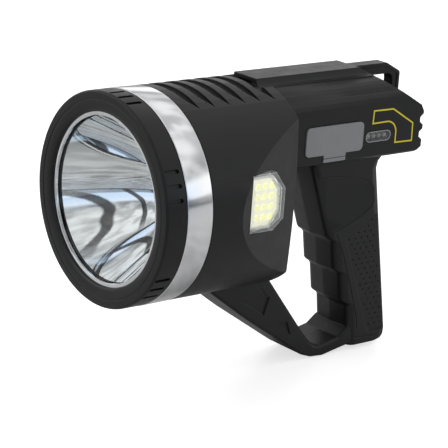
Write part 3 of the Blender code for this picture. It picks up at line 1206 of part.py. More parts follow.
def battery_holder(shop, finish):
    """Open cradle on the box floor: a base, a low side wall and two end plates."""
    half = CELL_RADIUS + GAP + HOLDER_WALL
    low = FLOOR_Z + GAP
    front = CELL_FRONT_Y - CELL_CONTACT_LENGTH - GAP
    rear = CELL_FRONT_Y + CELL_LENGTH + GAP
    outer = block((CELL_X - half, front - HOLDER_WALL, low), (CELL_X + half, rear + HOLDER_WALL,
                                                             UPPER_CELL_Z + 0.6 * CELL_RADIUS))
    holder = shop.piece("battery_holder", outer, finish)
    inner = half - HOLDER_WALL
    room = block((CELL_X - inner, front, low + HOLDER_WALL), (CELL_X + inner, rear, UPPER_CELL_Z + OVERSHOOT * 2.0))
    combine(holder, shop.tool("cell_room", room, finish), "DIFFERENCE")
    window = block((CELL_X - half - OVERSHOOT, front + 8.0 * MM, low + 6.0 * MM),
                   (CELL_X + half + OVERSHOOT, rear - 8.0 * MM, UPPER_CELL_Z + OVERSHOOT * 2.0))
    combine(holder, shop.tool("holder_windows", window, finish), "DIFFERENCE")
    return holder


def rear_button(shop, name, z, finish):
    """Push button in a scallop of the rear wall, with the flange that keeps it in."""
    rear = SCALLOP_FLOOR_Y + BUTTON_PROUD
    pivot = (0.0, BUTTON_FLANGE_Y, z)
    cap = extruded(slab(BUTTON_WIDTH, BUTTON_HEIGHT, BUTTON_HEIGHT, (0.0, z)), "Y", BUTTON_FLANGE_Y, rear)
    button = shop.piece(name, cap, finish, pivot)
    edge = slab(BUTTON_WIDTH + 4.0 * MM, BUTTON_HEIGHT + 3.0 * MM, 2.0 * MM, (0.0, z))
    flange = extruded(edge, "Y", BUTTON_FLANGE_Y, BUTTON_FLANGE_Y + BUTTON_FLANGE)
    combine(button, shop.tool(name + "_flange", flange, finish), "UNION")
    return button


def switch_board(shop, finish):
    """Board behind the buttons with one small switch for each, in slots of the housing's floor."""
    top = UPPER_SCALLOP_Z + 7.0 * MM
    outline = [(-SWITCH_BOARD_HALF_WIDTH, FLOOR_Z + GAP), (SWITCH_BOARD_HALF_WIDTH, FLOOR_Z + GAP),
               (SWITCH_BOARD_HALF_WIDTH, top), (-SWITCH_BOARD_HALF_WIDTH, top)]
    board = shop.piece("switch_board",
                       extruded(outline, "Y", SWITCH_BOARD_Y, SWITCH_BOARD_Y + BOARD_THICKNESS), finish)
    half = SWITCH_BODY / 2.0
    bodies = []
    for z in (UPPER_SCALLOP_Z, LOWER_SCALLOP_Z):
        bodies.append(block((-half, SWITCH_BOARD_Y + 0.5 * MM, z - half), (half, SWITCH_FACE_Y, z + half)))
    combine(board, shop.tool("switch_bodies", joined(*bodies), finish), "UNION")
    return board


def housing_screw(shop, index, place, finish):
    """Pan-headed screw, with its plain shank as wide as the thread."""
    seat = -SCREW_SEAT_X - GAP
    round_over = 0.5 * MM
    profile = [(0.0, seat - SCREW_HEAD_HEIGHT), (SCREW_HEAD_RADIUS - round_over, seat - SCREW_HEAD_HEIGHT),
               (SCREW_HEAD_RADIUS, seat - SCREW_HEAD_HEIGHT + round_over), (SCREW_HEAD_RADIUS, seat),
               (SCREW_SHANK_RADIUS, seat), (SCREW_SHANK_RADIUS, SCREW_REACH_X - 1.0 * MM), (0.0, SCREW_REACH_X)]
    shape = laid_along_x(revolved(profile, SCREW_SEGMENTS), place)
    return shop.piece("housing_screw_%d" % index, shape, finish)


def main():
    """Build every sub-part."""
    clear_scene()
    shop = Workshop()
    black = material("black_moulding", (0.022, 0.022, 0.023), 0.42)
    chrome = material("chrome", (0.82, 0.82, 0.83), 0.08, 1.0)
    clear = material("clear_plastic", (0.92, 0.94, 0.95), 0.05, 0.0, 0.3)
    rubber_black = material("black_rubber", (0.02, 0.02, 0.02), 0.8)
    rubber_grey = material("grey_rubber", (0.19, 0.19, 0.20), 0.6)
    white = material("white_plastic", (0.85, 0.85, 0.83), 0.5)
    emitter_yellow = material("emitter", (0.9, 0.75, 0.25), 0.35)
    metal = material("aluminium", (0.62, 0.63, 0.64), 0.35, 1.0)
    board_white = material("white_board", (0.88, 0.88, 0.84), 0.45)
    board_green = material("green_board", (0.03, 0.16, 0.07), 0.45)
    steel = material("steel", (0.55, 0.56, 0.57), 0.3, 1.0)
    cell_wrap = material("cell_wrap", (0.05, 0.17, 0.42), 0.4)

    bezel_ring(shop, black)
    trim_ring(shop, chrome)
    lens_gasket(shop, rubber_black)
    front_lens(shop, clear)
    main_reflector(shop, chrome)
    centring_ring(shop, white)
    main_emitter(shop, emitter_yellow)
    emitter_board(shop, board_white)
    heat_sink(shop, metal)
    blank = housing_blank(shop, black)
    housing_right(shop, blank, black)
    housing_left(shop, blank, black)
    side_window(shop, clear)
    side_tray(shop, chrome)
    side_led_board(shop, board_white)
    port_cover(shop, rubber_grey)
    port_cover_anchor(shop, rubber_grey)
    socket(shop, "usb_socket", USB_Y, USB_WIDTH, USB_HEIGHT, 1.8 * MM, steel)
    socket(shop, "charge_socket", CHARGE_Y, CHARGE_WIDTH, CHARGE_HEIGHT, 0.8 * MM, steel)
    main_board(shop, board_green)
    gauge_window(shop, clear)
    gauge_board(shop, board_green)
    battery_cell(shop, "battery_cell_lower", LOWER_CELL_Z, cell_wrap)
    battery_cell(shop, "battery_cell_upper", UPPER_CELL_Z, cell_wrap)
    battery_holder(shop, rubber_black)
    rear_button(shop, "power_button", UPPER_SCALLOP_Z, rubber_grey)
    rear_button(shop, "side_lamp_button", LOWER_SCALLOP_Z, rubber_grey)
    switch_board(shop, board_green)
    for index, place in enumerate(SCREW_PLACES):
        housing_screw(shop, index + 1, place, steel)


main()
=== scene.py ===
"""The looks of a pistol-grip searchlight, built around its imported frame.

Every new form is drawn in the beam frame, in metres: Y runs backwards along the barrel's axis from the front
plane of the bezel, Z is up from that axis, and X points to the side that carries the side lamp and the ports.
"""

import logging
from dataclasses import dataclass
from enum import Enum, IntEnum
from math import atan2, cos, pi, radians, sin, sqrt, tan
from typing import Iterable, Optional, Sequence, Union

import bmesh
import bpy
from mathutils import Matrix, Vector


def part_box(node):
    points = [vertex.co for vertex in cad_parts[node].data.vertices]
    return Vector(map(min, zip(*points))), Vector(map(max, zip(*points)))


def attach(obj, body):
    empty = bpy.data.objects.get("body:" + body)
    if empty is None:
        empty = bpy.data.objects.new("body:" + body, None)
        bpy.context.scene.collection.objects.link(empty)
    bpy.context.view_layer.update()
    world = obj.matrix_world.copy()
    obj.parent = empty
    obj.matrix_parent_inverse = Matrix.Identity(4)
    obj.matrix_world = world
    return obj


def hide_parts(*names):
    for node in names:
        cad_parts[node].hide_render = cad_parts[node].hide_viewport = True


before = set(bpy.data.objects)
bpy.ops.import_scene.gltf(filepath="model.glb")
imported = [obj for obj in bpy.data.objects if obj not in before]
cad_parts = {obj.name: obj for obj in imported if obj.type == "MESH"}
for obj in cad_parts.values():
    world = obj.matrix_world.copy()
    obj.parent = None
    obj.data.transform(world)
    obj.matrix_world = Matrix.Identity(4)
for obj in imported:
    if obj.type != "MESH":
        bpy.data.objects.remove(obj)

LOG = logging.getLogger("searchlight")
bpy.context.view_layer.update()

MM = 0.001
BEZEL_FRONT_Y = 0.7 * MM

# Steps of a full turn, for the head's large rings and for the small domes.
FINE_TURN = 192
SMALL_TURN = 48

# Points closer than MERGE become one; edges shorter than SLIVER are dissolved.
MERGE = 0.0005 * MM
SLIVER = 0.001 * MM

# A corner within this many radians of straight isn't filleted, and an inset corner moves no further than
# the even width over this share.
NEARLY_STRAIGHT = 0.01
SHARPEST_LEAN = 0.3

# Edges that turn by more degrees than CREASE stay sharp. A rounded edge has EDGE_SEGMENTS steps, and
# EVEN_WEIGHT is how far large faces rule the normals of their corners.
CREASE = 34.0
EDGE_SEGMENTS = 3
EVEN_WEIGHT = 100

# Shader values: the part of a noise that is stretched over 0 to 1, and the places of a Mix node's colours.
WHITE = (1.0, 1.0, 1.0)
SOFT_NOISE = (0.3, 0.7)
BEVEL_SAMPLES = 6
MIX_FIRST, MIX_SECOND, MIX_RESULT = 6, 7, 2

Point2 = tuple[float, float]
Point3 = tuple[float, float, float]
Colour = tuple[float, float, float]
Outline = tuple[Point2, ...]

# A colour or a direction, or the socket that gives one.
Triple = Union[Point3, bpy.types.NodeSocket]


class Body(Enum):
    """The bodies of the frame that a piece can ride on."""

    LAMP = "lamp"
    COVER = "port_cover"
    POWER = "power_button"
    SIDE = "side_lamp_button"


class Slot(Enum):
    """The material slots that new pieces are handed."""

    BEZEL = "bezel"
    TRIM = "trim"
    REFLECTOR = "reflector"
    LENS = "lens"
    EMITTER = "emitter"
    HOUSING = "housing"
    WINDOW = "window"
    BOARD = "board_white"
    COVER = "cover"
    BUTTON = "button"


class Side(IntEnum):
    """The two halves of the clamshell, as the sign of X on their side."""

    RIGHT = 1
    LEFT = -1


class Axis(Enum):
    """The directions that an outline can be extruded along."""

    X = "X"
    Y = "Y"
    Z = "Z"


def beam_datum() -> Vector:
    """Find where the beam frame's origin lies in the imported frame.

    Returns:
        The point on the barrel's axis in the front plane of the beam frame.
    """
    low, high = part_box("trim_ring")
    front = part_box("bezel_ring")[0].y
    return Vector(((low.x + high.x) / 2.0, front - BEZEL_FRONT_Y, (low.z + high.z) / 2.0))


DATUM = beam_datum()


def beam_box(node: str) -> tuple[Vector, Vector]:
    """Give the low and high corners of a node's box in the beam frame."""
    low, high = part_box(node)
    return low - DATUM, high - DATUM


class Value:
    """A shader socket that Python expressions can use; each operator adds one Math node."""

    def __init__(self, graph: "Graph", socket: bpy.types.NodeSocket) -> None:
        """Wrap a socket of a graph."""
        self.graph = graph
        self.socket = socket

    def __add__(self, other: "Number") -> "Value":
        """Add a number or a value."""
        return self.graph.math("ADD", self, other)

    def __radd__(self, other: "Number") -> "Value":
        """Add to a number."""
        return self.graph.math("ADD", other, self)

    def __sub__(self, other: "Number") -> "Value":
        """Take a number or a value away."""
        return self.graph.math("SUBTRACT", self, other)

    def __rsub__(self, other: "Number") -> "Value":
        """Take this value from a number."""
        return self.graph.math("SUBTRACT", other, self)

    def __mul__(self, other: "Number") -> "Value":
        """Multiply by a number or a value."""
        return self.graph.math("MULTIPLY", self, other)

    def __rmul__(self, other: "Number") -> "Value":
        """Multiply a number by this value."""
        return self.graph.math("MULTIPLY", other, self)

    def above(self, level: float) -> "Value":
        """Give 1 where the value is above a level, and 0 elsewhere."""
        return self.graph.math("GREATER_THAN", self, level)

    def between(self, low: float, high: float) -> "Value":
        """Stretch the part of the value from low to high over 0 to 1, and hold it there.

        Args:
            low: the value that becomes 0.
            high: the value that becomes 1.

        Returns:
            The stretched value.
        """
        inputs = {"Value": self, "From Min": low, "From Max": high}
        node = self.graph.node("ShaderNodeMapRange", inputs, clamp=True)
        return Value(self.graph, node.outputs["Result"])


Number = Union[Value, float]


@dataclass(frozen=True)
class Ramp:
    """An amount that is reached softly as a value goes from one level to another."""

    start: float
    end: float
    amount: float

    def over(self, value: Value) -> Value:
        """Give the amount that is reached at a value."""
        return value.between(self.start, self.end) * self.amount


class Graph:
    """The node tree of one material or of the world."""

    def __init__(self, owner: Union[bpy.types.Material, bpy.types.World]) -> None:
        """Start an empty tree.

        Args:
            owner: the material or world whose tree is filled.
        """
        owner.use_nodes = True
        self.tree = owner.node_tree
        self.tree.nodes.clear()

    def node(self, kind: str, inputs: Optional[dict[Union[str, int], object]] = None,
             **settings: object) -> bpy.types.Node:
        """Add any node.

        Args:
            kind: the node's type.
            inputs: the numbers, colours or links of its sockets, by name or place.
            settings: its properties, set before its sockets.

        Returns:
            The new node.
        """
        made = self.tree.nodes.new(kind)
        for name, value in settings.items():
            setattr(made, name, value)
        for name, value in (inputs or {}).items():
            self.feed(made.inputs[name], value)
        return made

    def feed(self, socket: bpy.types.NodeSocket, value: object) -> None:
        """Link or set one input.

        Args:
            socket: the input.
            value: a value, an output socket, a number or a tuple.
        """
        if isinstance(value, Value):
            self.tree.links.new(value.socket, socket)
        elif isinstance(value, bpy.types.NodeSocket):
            self.tree.links.new(value, socket)
        elif socket.type == "RGBA" and len(value) == 3:
            socket.default_value = (*value, 1.0)
        else:
            socket.default_value = value

    def math(self, operation: str, first: Number, second: Number) -> Value:
        """Add one Math node.

        Args:
            operation: the node's operation.
            first: its first number or value.
            second: its second number or value.

        Returns:
            The result.
        """
        made = self.node("ShaderNodeMath", {0: first, 1: second}, operation=operation)
        return Value(self, made.outputs[0])

    def dot(self, first: Triple, second: Triple) -> Value:
        """Give the dot product of two vectors."""
        made = self.node("ShaderNodeVectorMath", {0: first, 1: second}, operation="DOT_PRODUCT")
        return Value(self, made.outputs["Value"])

    def along(self, vector: bpy.types.NodeSocket, axis: Axis) -> Value:
        """Give one coordinate of a vector."""
        return Value(self, self.node("ShaderNodeSeparateXYZ", {0: vector}).outputs[axis.value])

    def place(self) -> bpy.types.NodeSocket:
        """Give the Object coordinates."""
        return self.node("ShaderNodeTexCoord").outputs["Object"]

    def noise(self, size: float, detail: float = 2.0, stretch: Point3 = (1.0, 1.0, 1.0)) -> Value:
        """Add a soft random pattern.

        Args:
            size: the size of one blotch in metres.
            detail: how many finer layers it has.
            stretch: how much closer the pattern is along each axis.

        Returns:
            A value around a half.
        """
        turned = self.node("ShaderNodeMapping", {"Vector": self.place(), "Scale": stretch})
        inputs = {"Vector": turned.outputs[0], "Scale": 1.0 / size, "Detail": detail}
        made = self.node("ShaderNodeTexNoise", inputs)
        return Value(self, made.outputs["Fac"])

    def blend(self, factor: Number, first: Triple, second: Triple) -> bpy.types.NodeSocket:
        """Mix two colours.

        Args:
            factor: how much of the second colour shows.
            first: a colour or a colour socket.
            second: a colour or a colour socket.

        Returns:
            The mixed colour.
        """
        inputs = {0: factor, MIX_FIRST: first, MIX_SECOND: second}
        made = self.node("ShaderNodeMix", inputs, data_type="RGBA")
        return made.outputs[MIX_RESULT]

    def bump(self, height: Value, depth: float, edge: float = 0.0) -> bpy.types.NodeSocket:
        """Raise and sink a surface by a pattern, over softened edges.

        Args:
            height: the pattern, from 0 to 1.
            depth: how deep the pattern goes, in metres.
            edge: the radius that sharp edges are softened to, in metres.

        Returns:
            The changed normal.
        """
        inputs = {"Strength": 1.0, "Distance": depth, "Height": height}
        if edge > 0.0:
            inputs["Normal"] = self.softened(edge)
        return self.node("ShaderNodeBump", inputs).outputs[0]

    def softened(self, radius: float) -> bpy.types.NodeSocket:
        """Give the normal of a surface whose edges are rounded by a radius."""
        return self.node("ShaderNodeBevel", {"Radius": radius}, samples=BEVEL_SAMPLES).outputs[0]

    def finish(self, surface: bpy.types.NodeSocket, kind: str = "ShaderNodeOutputMaterial") -> None:
        """Send a shader to the output."""
        self.node(kind, {"Surface": surface})


def shade(colour: Colour, amount: float) -> Colour:
    """Brighten or darken a colour by a factor."""
    return tuple(min(1.0, part * amount) for part in colour)


@dataclass(frozen=True)
class Finish:
    """A solid surface: colour, gloss, faint blotches and a fine grain."""

    name: str
    colour: Colour
    roughness: float
    metallic: float = 0.0
    grain: float = 0.35 * MM
    depth: float = 0.01 * MM
    mottle: float = 0.08
    cloud: float = 9.0 * MM
    tint: float = 0.12
    edge: float = 0.0
    coat: float = 0.0
    coat_roughness: float = 0.08
    specular: float = 0.5
    stretch: Point3 = (1.0, 1.0, 1.0)

    def make(self) -> bpy.types.Material:
        """Build the material.

        Returns:
            The finished material.
        """
        made = bpy.data.materials.new(self.name)
        graph = Graph(made)
        cloud = graph.noise(self.cloud, detail=3.0, stretch=self.stretch)
        grain = graph.noise(self.grain, detail=1.0, stretch=self.stretch)
        shader = graph.node("ShaderNodeBsdfPrincipled", {
            "Base Color": self.colouring(graph, cloud),
            "Roughness": self.roughness + (cloud.between(*SOFT_NOISE) - 0.5) * self.mottle,
            "Metallic": self.metallic,
            "Specular IOR Level": self.specular,
            "Coat Weight": self.coat,
            "Coat Roughness": self.coat_roughness,
            "Normal": graph.bump(grain, self.depth, self.edge),
        })
        self.light(graph, shader)
        graph.finish(shader.outputs[0])
        return made

    def colouring(self, graph: Graph, cloud: Value) -> bpy.types.NodeSocket:
        """Give the colour over the surface.

        Args:
            graph: the material's tree.
            cloud: the blotches.

        Returns:
            The colour socket.
        """
        low, high = shade(self.colour, 1.0 - self.tint), shade(self.colour, 1.0 + self.tint)
        return graph.blend(cloud.between(*SOFT_NOISE), low, high)

    def light(self, graph: Graph, shader: bpy.types.Node) -> None:
        """Leave the surface without light of its own."""


@dataclass(frozen=True)
class Board(Finish):
    """Circuit board: solder mask with straight tracks under it."""

    track: Colour = (0.05, 0.26, 0.11)
    pitch: float = 2.4 * MM
    wave_scale: float = 0.05
    crest: float = 0.72
    patch: float = 3.0
    patch_level: float = 0.48

    def colouring(self, graph: Graph, cloud: Value) -> bpy.types.NodeSocket:
        """Draw the tracks.

        Args:
            graph: the material's tree.
            cloud: the blotches.

        Returns:
            The colour socket.
        """
        wave = graph.node("ShaderNodeTexWave", {
            "Vector": graph.place(), "Scale": self.wave_scale / self.pitch, "Distortion": 0.0,
        }, wave_type="BANDS", bands_direction="Z")
        patches = graph.noise(self.pitch * self.patch).above(self.patch_level)
        tracks = Value(graph, wave.outputs["Fac"]).above(self.crest) * patches
        return graph.blend(tracks, super().colouring(graph, cloud), self.track)


@dataclass(frozen=True)
class PaintedGlow(Finish):
    """Light chips and other parts that carry a painted glow in their own colour, which makes them look lit.
    """

    painted_glow: float = 0.6
    spots: float = 0.6
    spot_range: Point2 = (0.35, 0.65)
    hottest: float = 1.25

    def light(self, graph: Graph, shader: bpy.types.Node) -> None:
        """Paint a glow in the surface's own colour, brighter in random spots.

        Args:
            graph: the material's tree.
            shader: the shader that the painted glow is put on.
        """
        cloud = graph.noise(self.cloud * self.spots, detail=1.0)
        painted_glow_colour = graph.blend(cloud.between(*self.spot_range), self.colour, shade(self.colour, self.hottest))
        graph.feed(shader.inputs["Emission Color"], painted_glow_colour)
        shader.inputs["Emission Strength"].default_value = self.painted_glow


@dataclass(frozen=True)
class Clear:
    """Thin clear sheet: it lets light straight through and mirrors a little, more at a glancing angle; its
    milky rims are a painted highlight, and the milk can carry a painted glow.
    """

    name: str
    tint: Colour = (0.97, 0.98, 0.98)
    gloss: float = 1.0
    haze: float = 0.0
    haze_colour: Colour = (0.8, 0.82, 0.84)
    haze_roughness: float = 0.3
    haze_size: float = 5.0 * MM
    haze_range: Point2 = (0.2, 0.8)
    haze_spread: float = 0.3
    rim: float = 0.6 * MM
    rim_turn: Point2 = (0.012, 0.12)
    painted_rim_highlight: float = 0.8
    painted_milk_glow: float = 0.0
    ripple: float = 14.0 * MM
    ripple_depth: float = 0.02 * MM
    polish: float = 0.02
    smear: float = 0.03
    smear_size: float = 20.0 * MM
    smear_range: Point2 = (0.4, 0.7)
    refraction: float = 1.49

    def make(self) -> bpy.types.Material:
        """Build the material.

        Returns:
            The finished material.
        """
        made = bpy.data.materials.new(self.name)
        graph = Graph(made)
        smears = graph.noise(self.smear_size).between(*self.smear_range)
        mirror = graph.node("ShaderNodeBsdfPrincipled", {
            "Base Color": WHITE, "Metallic": 1.0, "Roughness": self.polish + smears * self.smear,
            "Normal": graph.bump(graph.noise(self.ripple, detail=1.0), self.ripple_depth)})
        through = graph.node("ShaderNodeBsdfTransparent", {"Color": self.tint})
        glancing = Value(graph, graph.node("ShaderNodeFresnel", {"IOR": self.refraction}).outputs[0])
        outside = 1.0 - Value(graph, graph.node("ShaderNodeNewGeometry").outputs["Backfacing"])
        mixed = graph.node("ShaderNodeMixShader", {
            0: glancing * outside * self.gloss, 1: through.outputs[0], 2: mirror.outputs[0]})
        # Milk is mixed in evenly with random spots, and more of it along the edges as a painted highlight;
        # its emission is a painted glow.
        if self.haze > 0.0:
            milk = graph.node("ShaderNodeBsdfPrincipled", {
                "Base Color": self.haze_colour, "Roughness": self.haze_roughness,
                "Emission Color": self.haze_colour, "Emission Strength": self.painted_milk_glow})
            spots = graph.noise(self.haze_size).between(*self.haze_range)
            amount = spots * (self.haze_spread * self.haze) + self.haze
            true = graph.node("ShaderNodeNewGeometry").outputs["Normal"]
            level = graph.dot(graph.softened(self.rim), true)
            edge = (1.0 - level).between(*self.rim_turn)
            mixed = graph.node("ShaderNodeMixShader", {
                0: amount + edge * self.painted_rim_highlight, 1: mixed.outputs[0], 2: milk.outputs[0]})
        graph.finish(mixed.outputs[0])
        return made


@dataclass(frozen=True)
class Palette:
    """Every finish of the lamp."""

    moulding: Finish = Finish("black_moulding", (0.0065, 0.0065, 0.0067), 0.40, depth=0.012 * MM,
                              edge=0.8 * MM, specular=0.4)
    front_ring: Finish = Finish("black_bezel", (0.0070, 0.0070, 0.0073), 0.36, depth=0.008 * MM,
                                edge=0.3 * MM, specular=0.37)
    chrome: Finish = Finish("chrome_band", (0.86, 0.87, 0.88), 0.13, 1.0, depth=0.002 * MM, mottle=0.06,
                            cloud=16.0 * MM, tint=0.03)
    mirror: Finish = Finish("mirror_bowl", (0.93, 0.94, 0.95), 0.035, 1.0, grain=2.5 * MM,
                            depth=0.006 * MM, mottle=0.02, cloud=22.0 * MM, tint=0.02)
    lens: Clear = Clear("clear_lens", gloss=0.8)
    # The window's and the gauge's milky rims are a painted highlight; the window's milk also has a painted
    # glow.
    window: Clear = Clear("clear_window", (0.97, 0.98, 0.97), gloss=1.4, haze=0.05, rim=0.9 * MM,
                          painted_rim_highlight=0.9, painted_milk_glow=0.55)
    gauge: Clear = Clear("clear_gauge", (0.8, 0.82, 0.83), gloss=1.2, haze=0.05)
    grey_rubber: Finish = Finish("grey_rubber", (0.30, 0.31, 0.325), 0.55, depth=0.02 * MM,
                                 edge=0.3 * MM, tint=0.03)
    black_rubber: Finish = Finish("black_rubber", (0.018, 0.018, 0.018), 0.78, depth=0.02 * MM)
    white: Finish = Finish("white_plastic", (0.82, 0.82, 0.80), 0.45)
    silver_tray: Finish = Finish("silver_tray", (0.86, 0.85, 0.83), 0.3, 0.2, cloud=4.0 * MM, mottle=0.1)
    # The chip board, the chips and the emitter dome carry a painted glow: painted light that brightens them.
    cream: PaintedGlow = PaintedGlow("cream_board", (0.93, 0.90, 0.72), 0.5, cloud=5.0 * MM, tint=0.05, painted_glow=0.42)
    phosphor: PaintedGlow = PaintedGlow("phosphor", (0.93, 0.92, 0.40), 0.5, cloud=2.0 * MM, painted_glow=0.55)
    white_board: Board = Board("white_board", (0.85, 0.85, 0.80), 0.42, track=(0.70, 0.70, 0.66))
    green_board: Board = Board("green_board", (0.02, 0.15, 0.06), 0.4)
    aluminium: Finish = Finish("aluminium", (0.60, 0.61, 0.62), 0.36, 1.0, stretch=(1.0, 6.0, 1.0))
    steel: Finish = Finish("steel", (0.55, 0.56, 0.57), 0.28, 1.0)
    wrap: Finish = Finish("cell_wrap", (0.04, 0.15, 0.40), 0.35, coat=0.3)
    paint: Finish = Finish("yellow_line", (0.95, 0.80, 0.04), 0.4, tint=0.06)
    # The gauge lights carry a faint painted glow.
    led: PaintedGlow = PaintedGlow("gauge_led", (0.36, 0.36, 0.34), 0.16, cloud=1.2 * MM, painted_glow=0.02, tint=0.5)
    dark_board: Board = Board("dark_board", (0.012, 0.014, 0.013), 0.4, track=(0.03, 0.035, 0.03))
    rim_grey: Finish = Finish("rim_grey", (0.30, 0.30, 0.30), 0.4)


def arc(centre: Point2, radius: float, start: float, end: float, steps: int) -> list[Point2]:
    """Work out the points of an arc.

    Args:
        centre: its centre.
        radius: its radius.
        start: the first angle.
        end: the last angle.
        steps: how many chords it has.

    Returns:
        The points, both ends included.
    """
    angles = [start + (end - start) * i / steps for i in range(steps + 1)]
    return [(centre[0] + radius * cos(angle), centre[1] + radius * sin(angle)) for angle in angles]


def rounded(corners: Sequence[Point2], radii: Sequence[float], steps: int = 6) -> list[Point2]:
    """Fillet the corners of a closed outline.

    Args:
        corners: the corners in order.
        radii: the radius at each; 0 leaves it sharp.
        steps: chords in each fillet.

    Returns:
        The outline.
    """
    outline: list[Point2] = []
    for i, (corner, radius) in enumerate(zip(corners, radii)):
        here = Vector(corner)
        before = Vector(corners[i - 1]) - here
        after = Vector(corners[(i + 1) % len(corners)]) - here
        half = before.angle(after) / 2.0
        if radius <= 0.0 or half > pi / 2.0 - NEARLY_STRAIGHT:
            outline.append((here.x, here.y))
            continue
        centre = here + (before.normalized() + after.normalized()).normalized() * radius / sin(half)
        first = here + before.normalized() * radius / tan(half) - centre
        last = here + after.normalized() * radius / tan(half) - centre
        start = atan2(first.y, first.x)
        outline += arc((centre.x, centre.y), radius, start, start - first.angle_signed(last), steps)
    return outline


def obround(length: float, height: float, centre: Point2, steps: int) -> list[Point2]:
    """Draw the outline of a slot with round ends, longer along the first axis.

    Args:
        length: its length over both ends.
        height: its height.
        centre: its middle.
        steps: chords in each round end.

    Returns:
        The outline.
    """
    radius = height / 2.0
    reach = length / 2.0 - radius
    right = arc((centre[0] + reach, centre[1]), radius, -pi / 2.0, pi / 2.0, steps)
    return right + arc((centre[0] - reach, centre[1]), radius, pi / 2.0, 1.5 * pi, steps)


def inset(outline: Sequence[Point2], width: float) -> list[Point2]:
    """Move a closed outline inwards by an even width.

    Args:
        outline: the outline, either way round.
        width: how far it moves.

    Returns:
        The inner outline, point for point.
    """
    spots = [Vector(point) for point in outline]
    area = sum(spots[i - 1].cross(spots[i]) for i in range(len(spots)))
    inner = []
    for i, spot in enumerate(spots):
        before = (spot - spots[i - 1]).normalized()
        after = (spots[(i + 1) % len(spots)] - spot).normalized()
        lean = Vector((-(before + after).y, (before + after).x)).normalized()
        lean = lean * (1.0 if area > 0.0 else -1.0)
        reach = width / max(SHARPEST_LEAN, abs(lean.dot(Vector((-after.y, after.x)))))
        inner.append(tuple(spot + lean * reach))
    return inner


def points_in(geometry: Iterable[bmesh.types.BMVert]) -> list[bmesh.types.BMVert]:
    """Pick the vertices out of what a bmesh operator gave back."""
    return [part for part in geometry if isinstance(part, bmesh.types.BMVert)]


def evaluated_mesh(thing: bpy.types.Object) -> bpy.types.Mesh:
    """Give an object's mesh with its modifiers or bevels worked in."""
    graph = bpy.context.evaluated_depsgraph_get()
    return bpy.data.meshes.new_from_object(thing.evaluated_get(graph))


def hull(points: Sequence[Point3]) -> bmesh.types.BMesh:
    """Make the convex form around a few points.

    Args:
        points: the points.

    Returns:
        The closed form.
    """
    form = bmesh.new()
    for point in points:
        form.verts.new(point)
    made = bmesh.ops.convex_hull(form, input=form.verts)
    bmesh.ops.delete(form, geom=points_in(made["geom_interior"]), context="VERTS")
    return closed(form)


def turned(profile: Sequence[Point2], segments: int = FINE_TURN) -> bmesh.types.BMesh:
    """Spin a closed outline of (radius, y) points about the beam axis.

    Args:
        profile: the outline.
        segments: steps in the full turn.

    Returns:
        The closed form.
    """
    form = bmesh.new()
    ring = [form.verts.new((radius, y, 0.0)) for radius, y in profile]
    pairs = [(ring[i - 1], ring[i]) for i in range(len(ring))]
    edges = [form.edges.new(pair) for pair in pairs if pair[0].co.x + pair[1].co.x > 0.0]
    bmesh.ops.spin(form, geom=ring + edges, cent=(0, 0, 0), axis=(0, 1, 0), angle=2.0 * pi,
                   steps=segments, use_merge=True)
    bmesh.ops.dissolve_degenerate(form, edges=form.edges, dist=SLIVER)
    return closed(form)


def closed(form: bmesh.types.BMesh) -> bmesh.types.BMesh:
    """Merge seams and poles, and turn every face outwards.

    Args:
        form: the form, which is changed.

    Returns:
        The same form.
    """
    bmesh.ops.remove_doubles(form, verts=form.verts, dist=MERGE)
    bmesh.ops.recalc_face_normals(form, faces=form.faces)
    return form


def extruded(outline: Sequence[Point2], axis: Axis, low: float, high: float) -> bmesh.types.BMesh:
    """Extrude a closed outline.

    Args:
        outline: the other two coordinates in order.
        axis: the direction that it grows along.
        low: where the form starts along the axis.
        high: where it ends.

    Returns:
        The closed form.
    """
    form = bmesh.new()
    place = {Axis.X: lambda a, b: (low, a, b), Axis.Y: lambda a, b: (a, low, b),
             Axis.Z: lambda a, b: (a, b, low)}[axis]
    face = form.faces.new([form.verts.new(place(a, b)) for a, b in outline])
    grown = bmesh.ops.extrude_face_region(form, geom=[face])["geom"]
    reach = Vector((axis is Axis.X, axis is Axis.Y, axis is Axis.Z)) * (high - low)
    bmesh.ops.translate(form, verts=points_in(grown), vec=reach)
    return closed(form)


def joined(forms: Iterable[bmesh.types.BMesh]) -> bmesh.types.BMesh:
    """Put several forms into one.

    Args:
        forms: the forms, which are used up.

    Returns:
        One bmesh with all of them.
    """
    whole = bmesh.new()
    for form in forms:
        mesh = bpy.data.meshes.new("joined")
        form.to_mesh(mesh)
        form.free()
        whole.from_mesh(mesh)
        bpy.data.meshes.remove(mesh)
    return whole


def copy_of(node: str, flat: float = 0.3) -> bmesh.types.BMesh:
    """Copy a node's mesh into the beam frame, merged and with its flat faces whole.

    Args:
        node: the node's name.
        flat: the angle in degrees under which faces count as one flat face.

    Returns:
        The copy.
    """
    form = bmesh.new()
    form.from_mesh(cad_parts[node].data)
    bmesh.ops.remove_doubles(form, verts=form.verts, dist=MERGE)
    bmesh.ops.dissolve_limit(form, angle_limit=radians(flat), verts=form.verts, edges=form.edges)
    bmesh.ops.translate(form, verts=form.verts, vec=-DATUM)
    return form


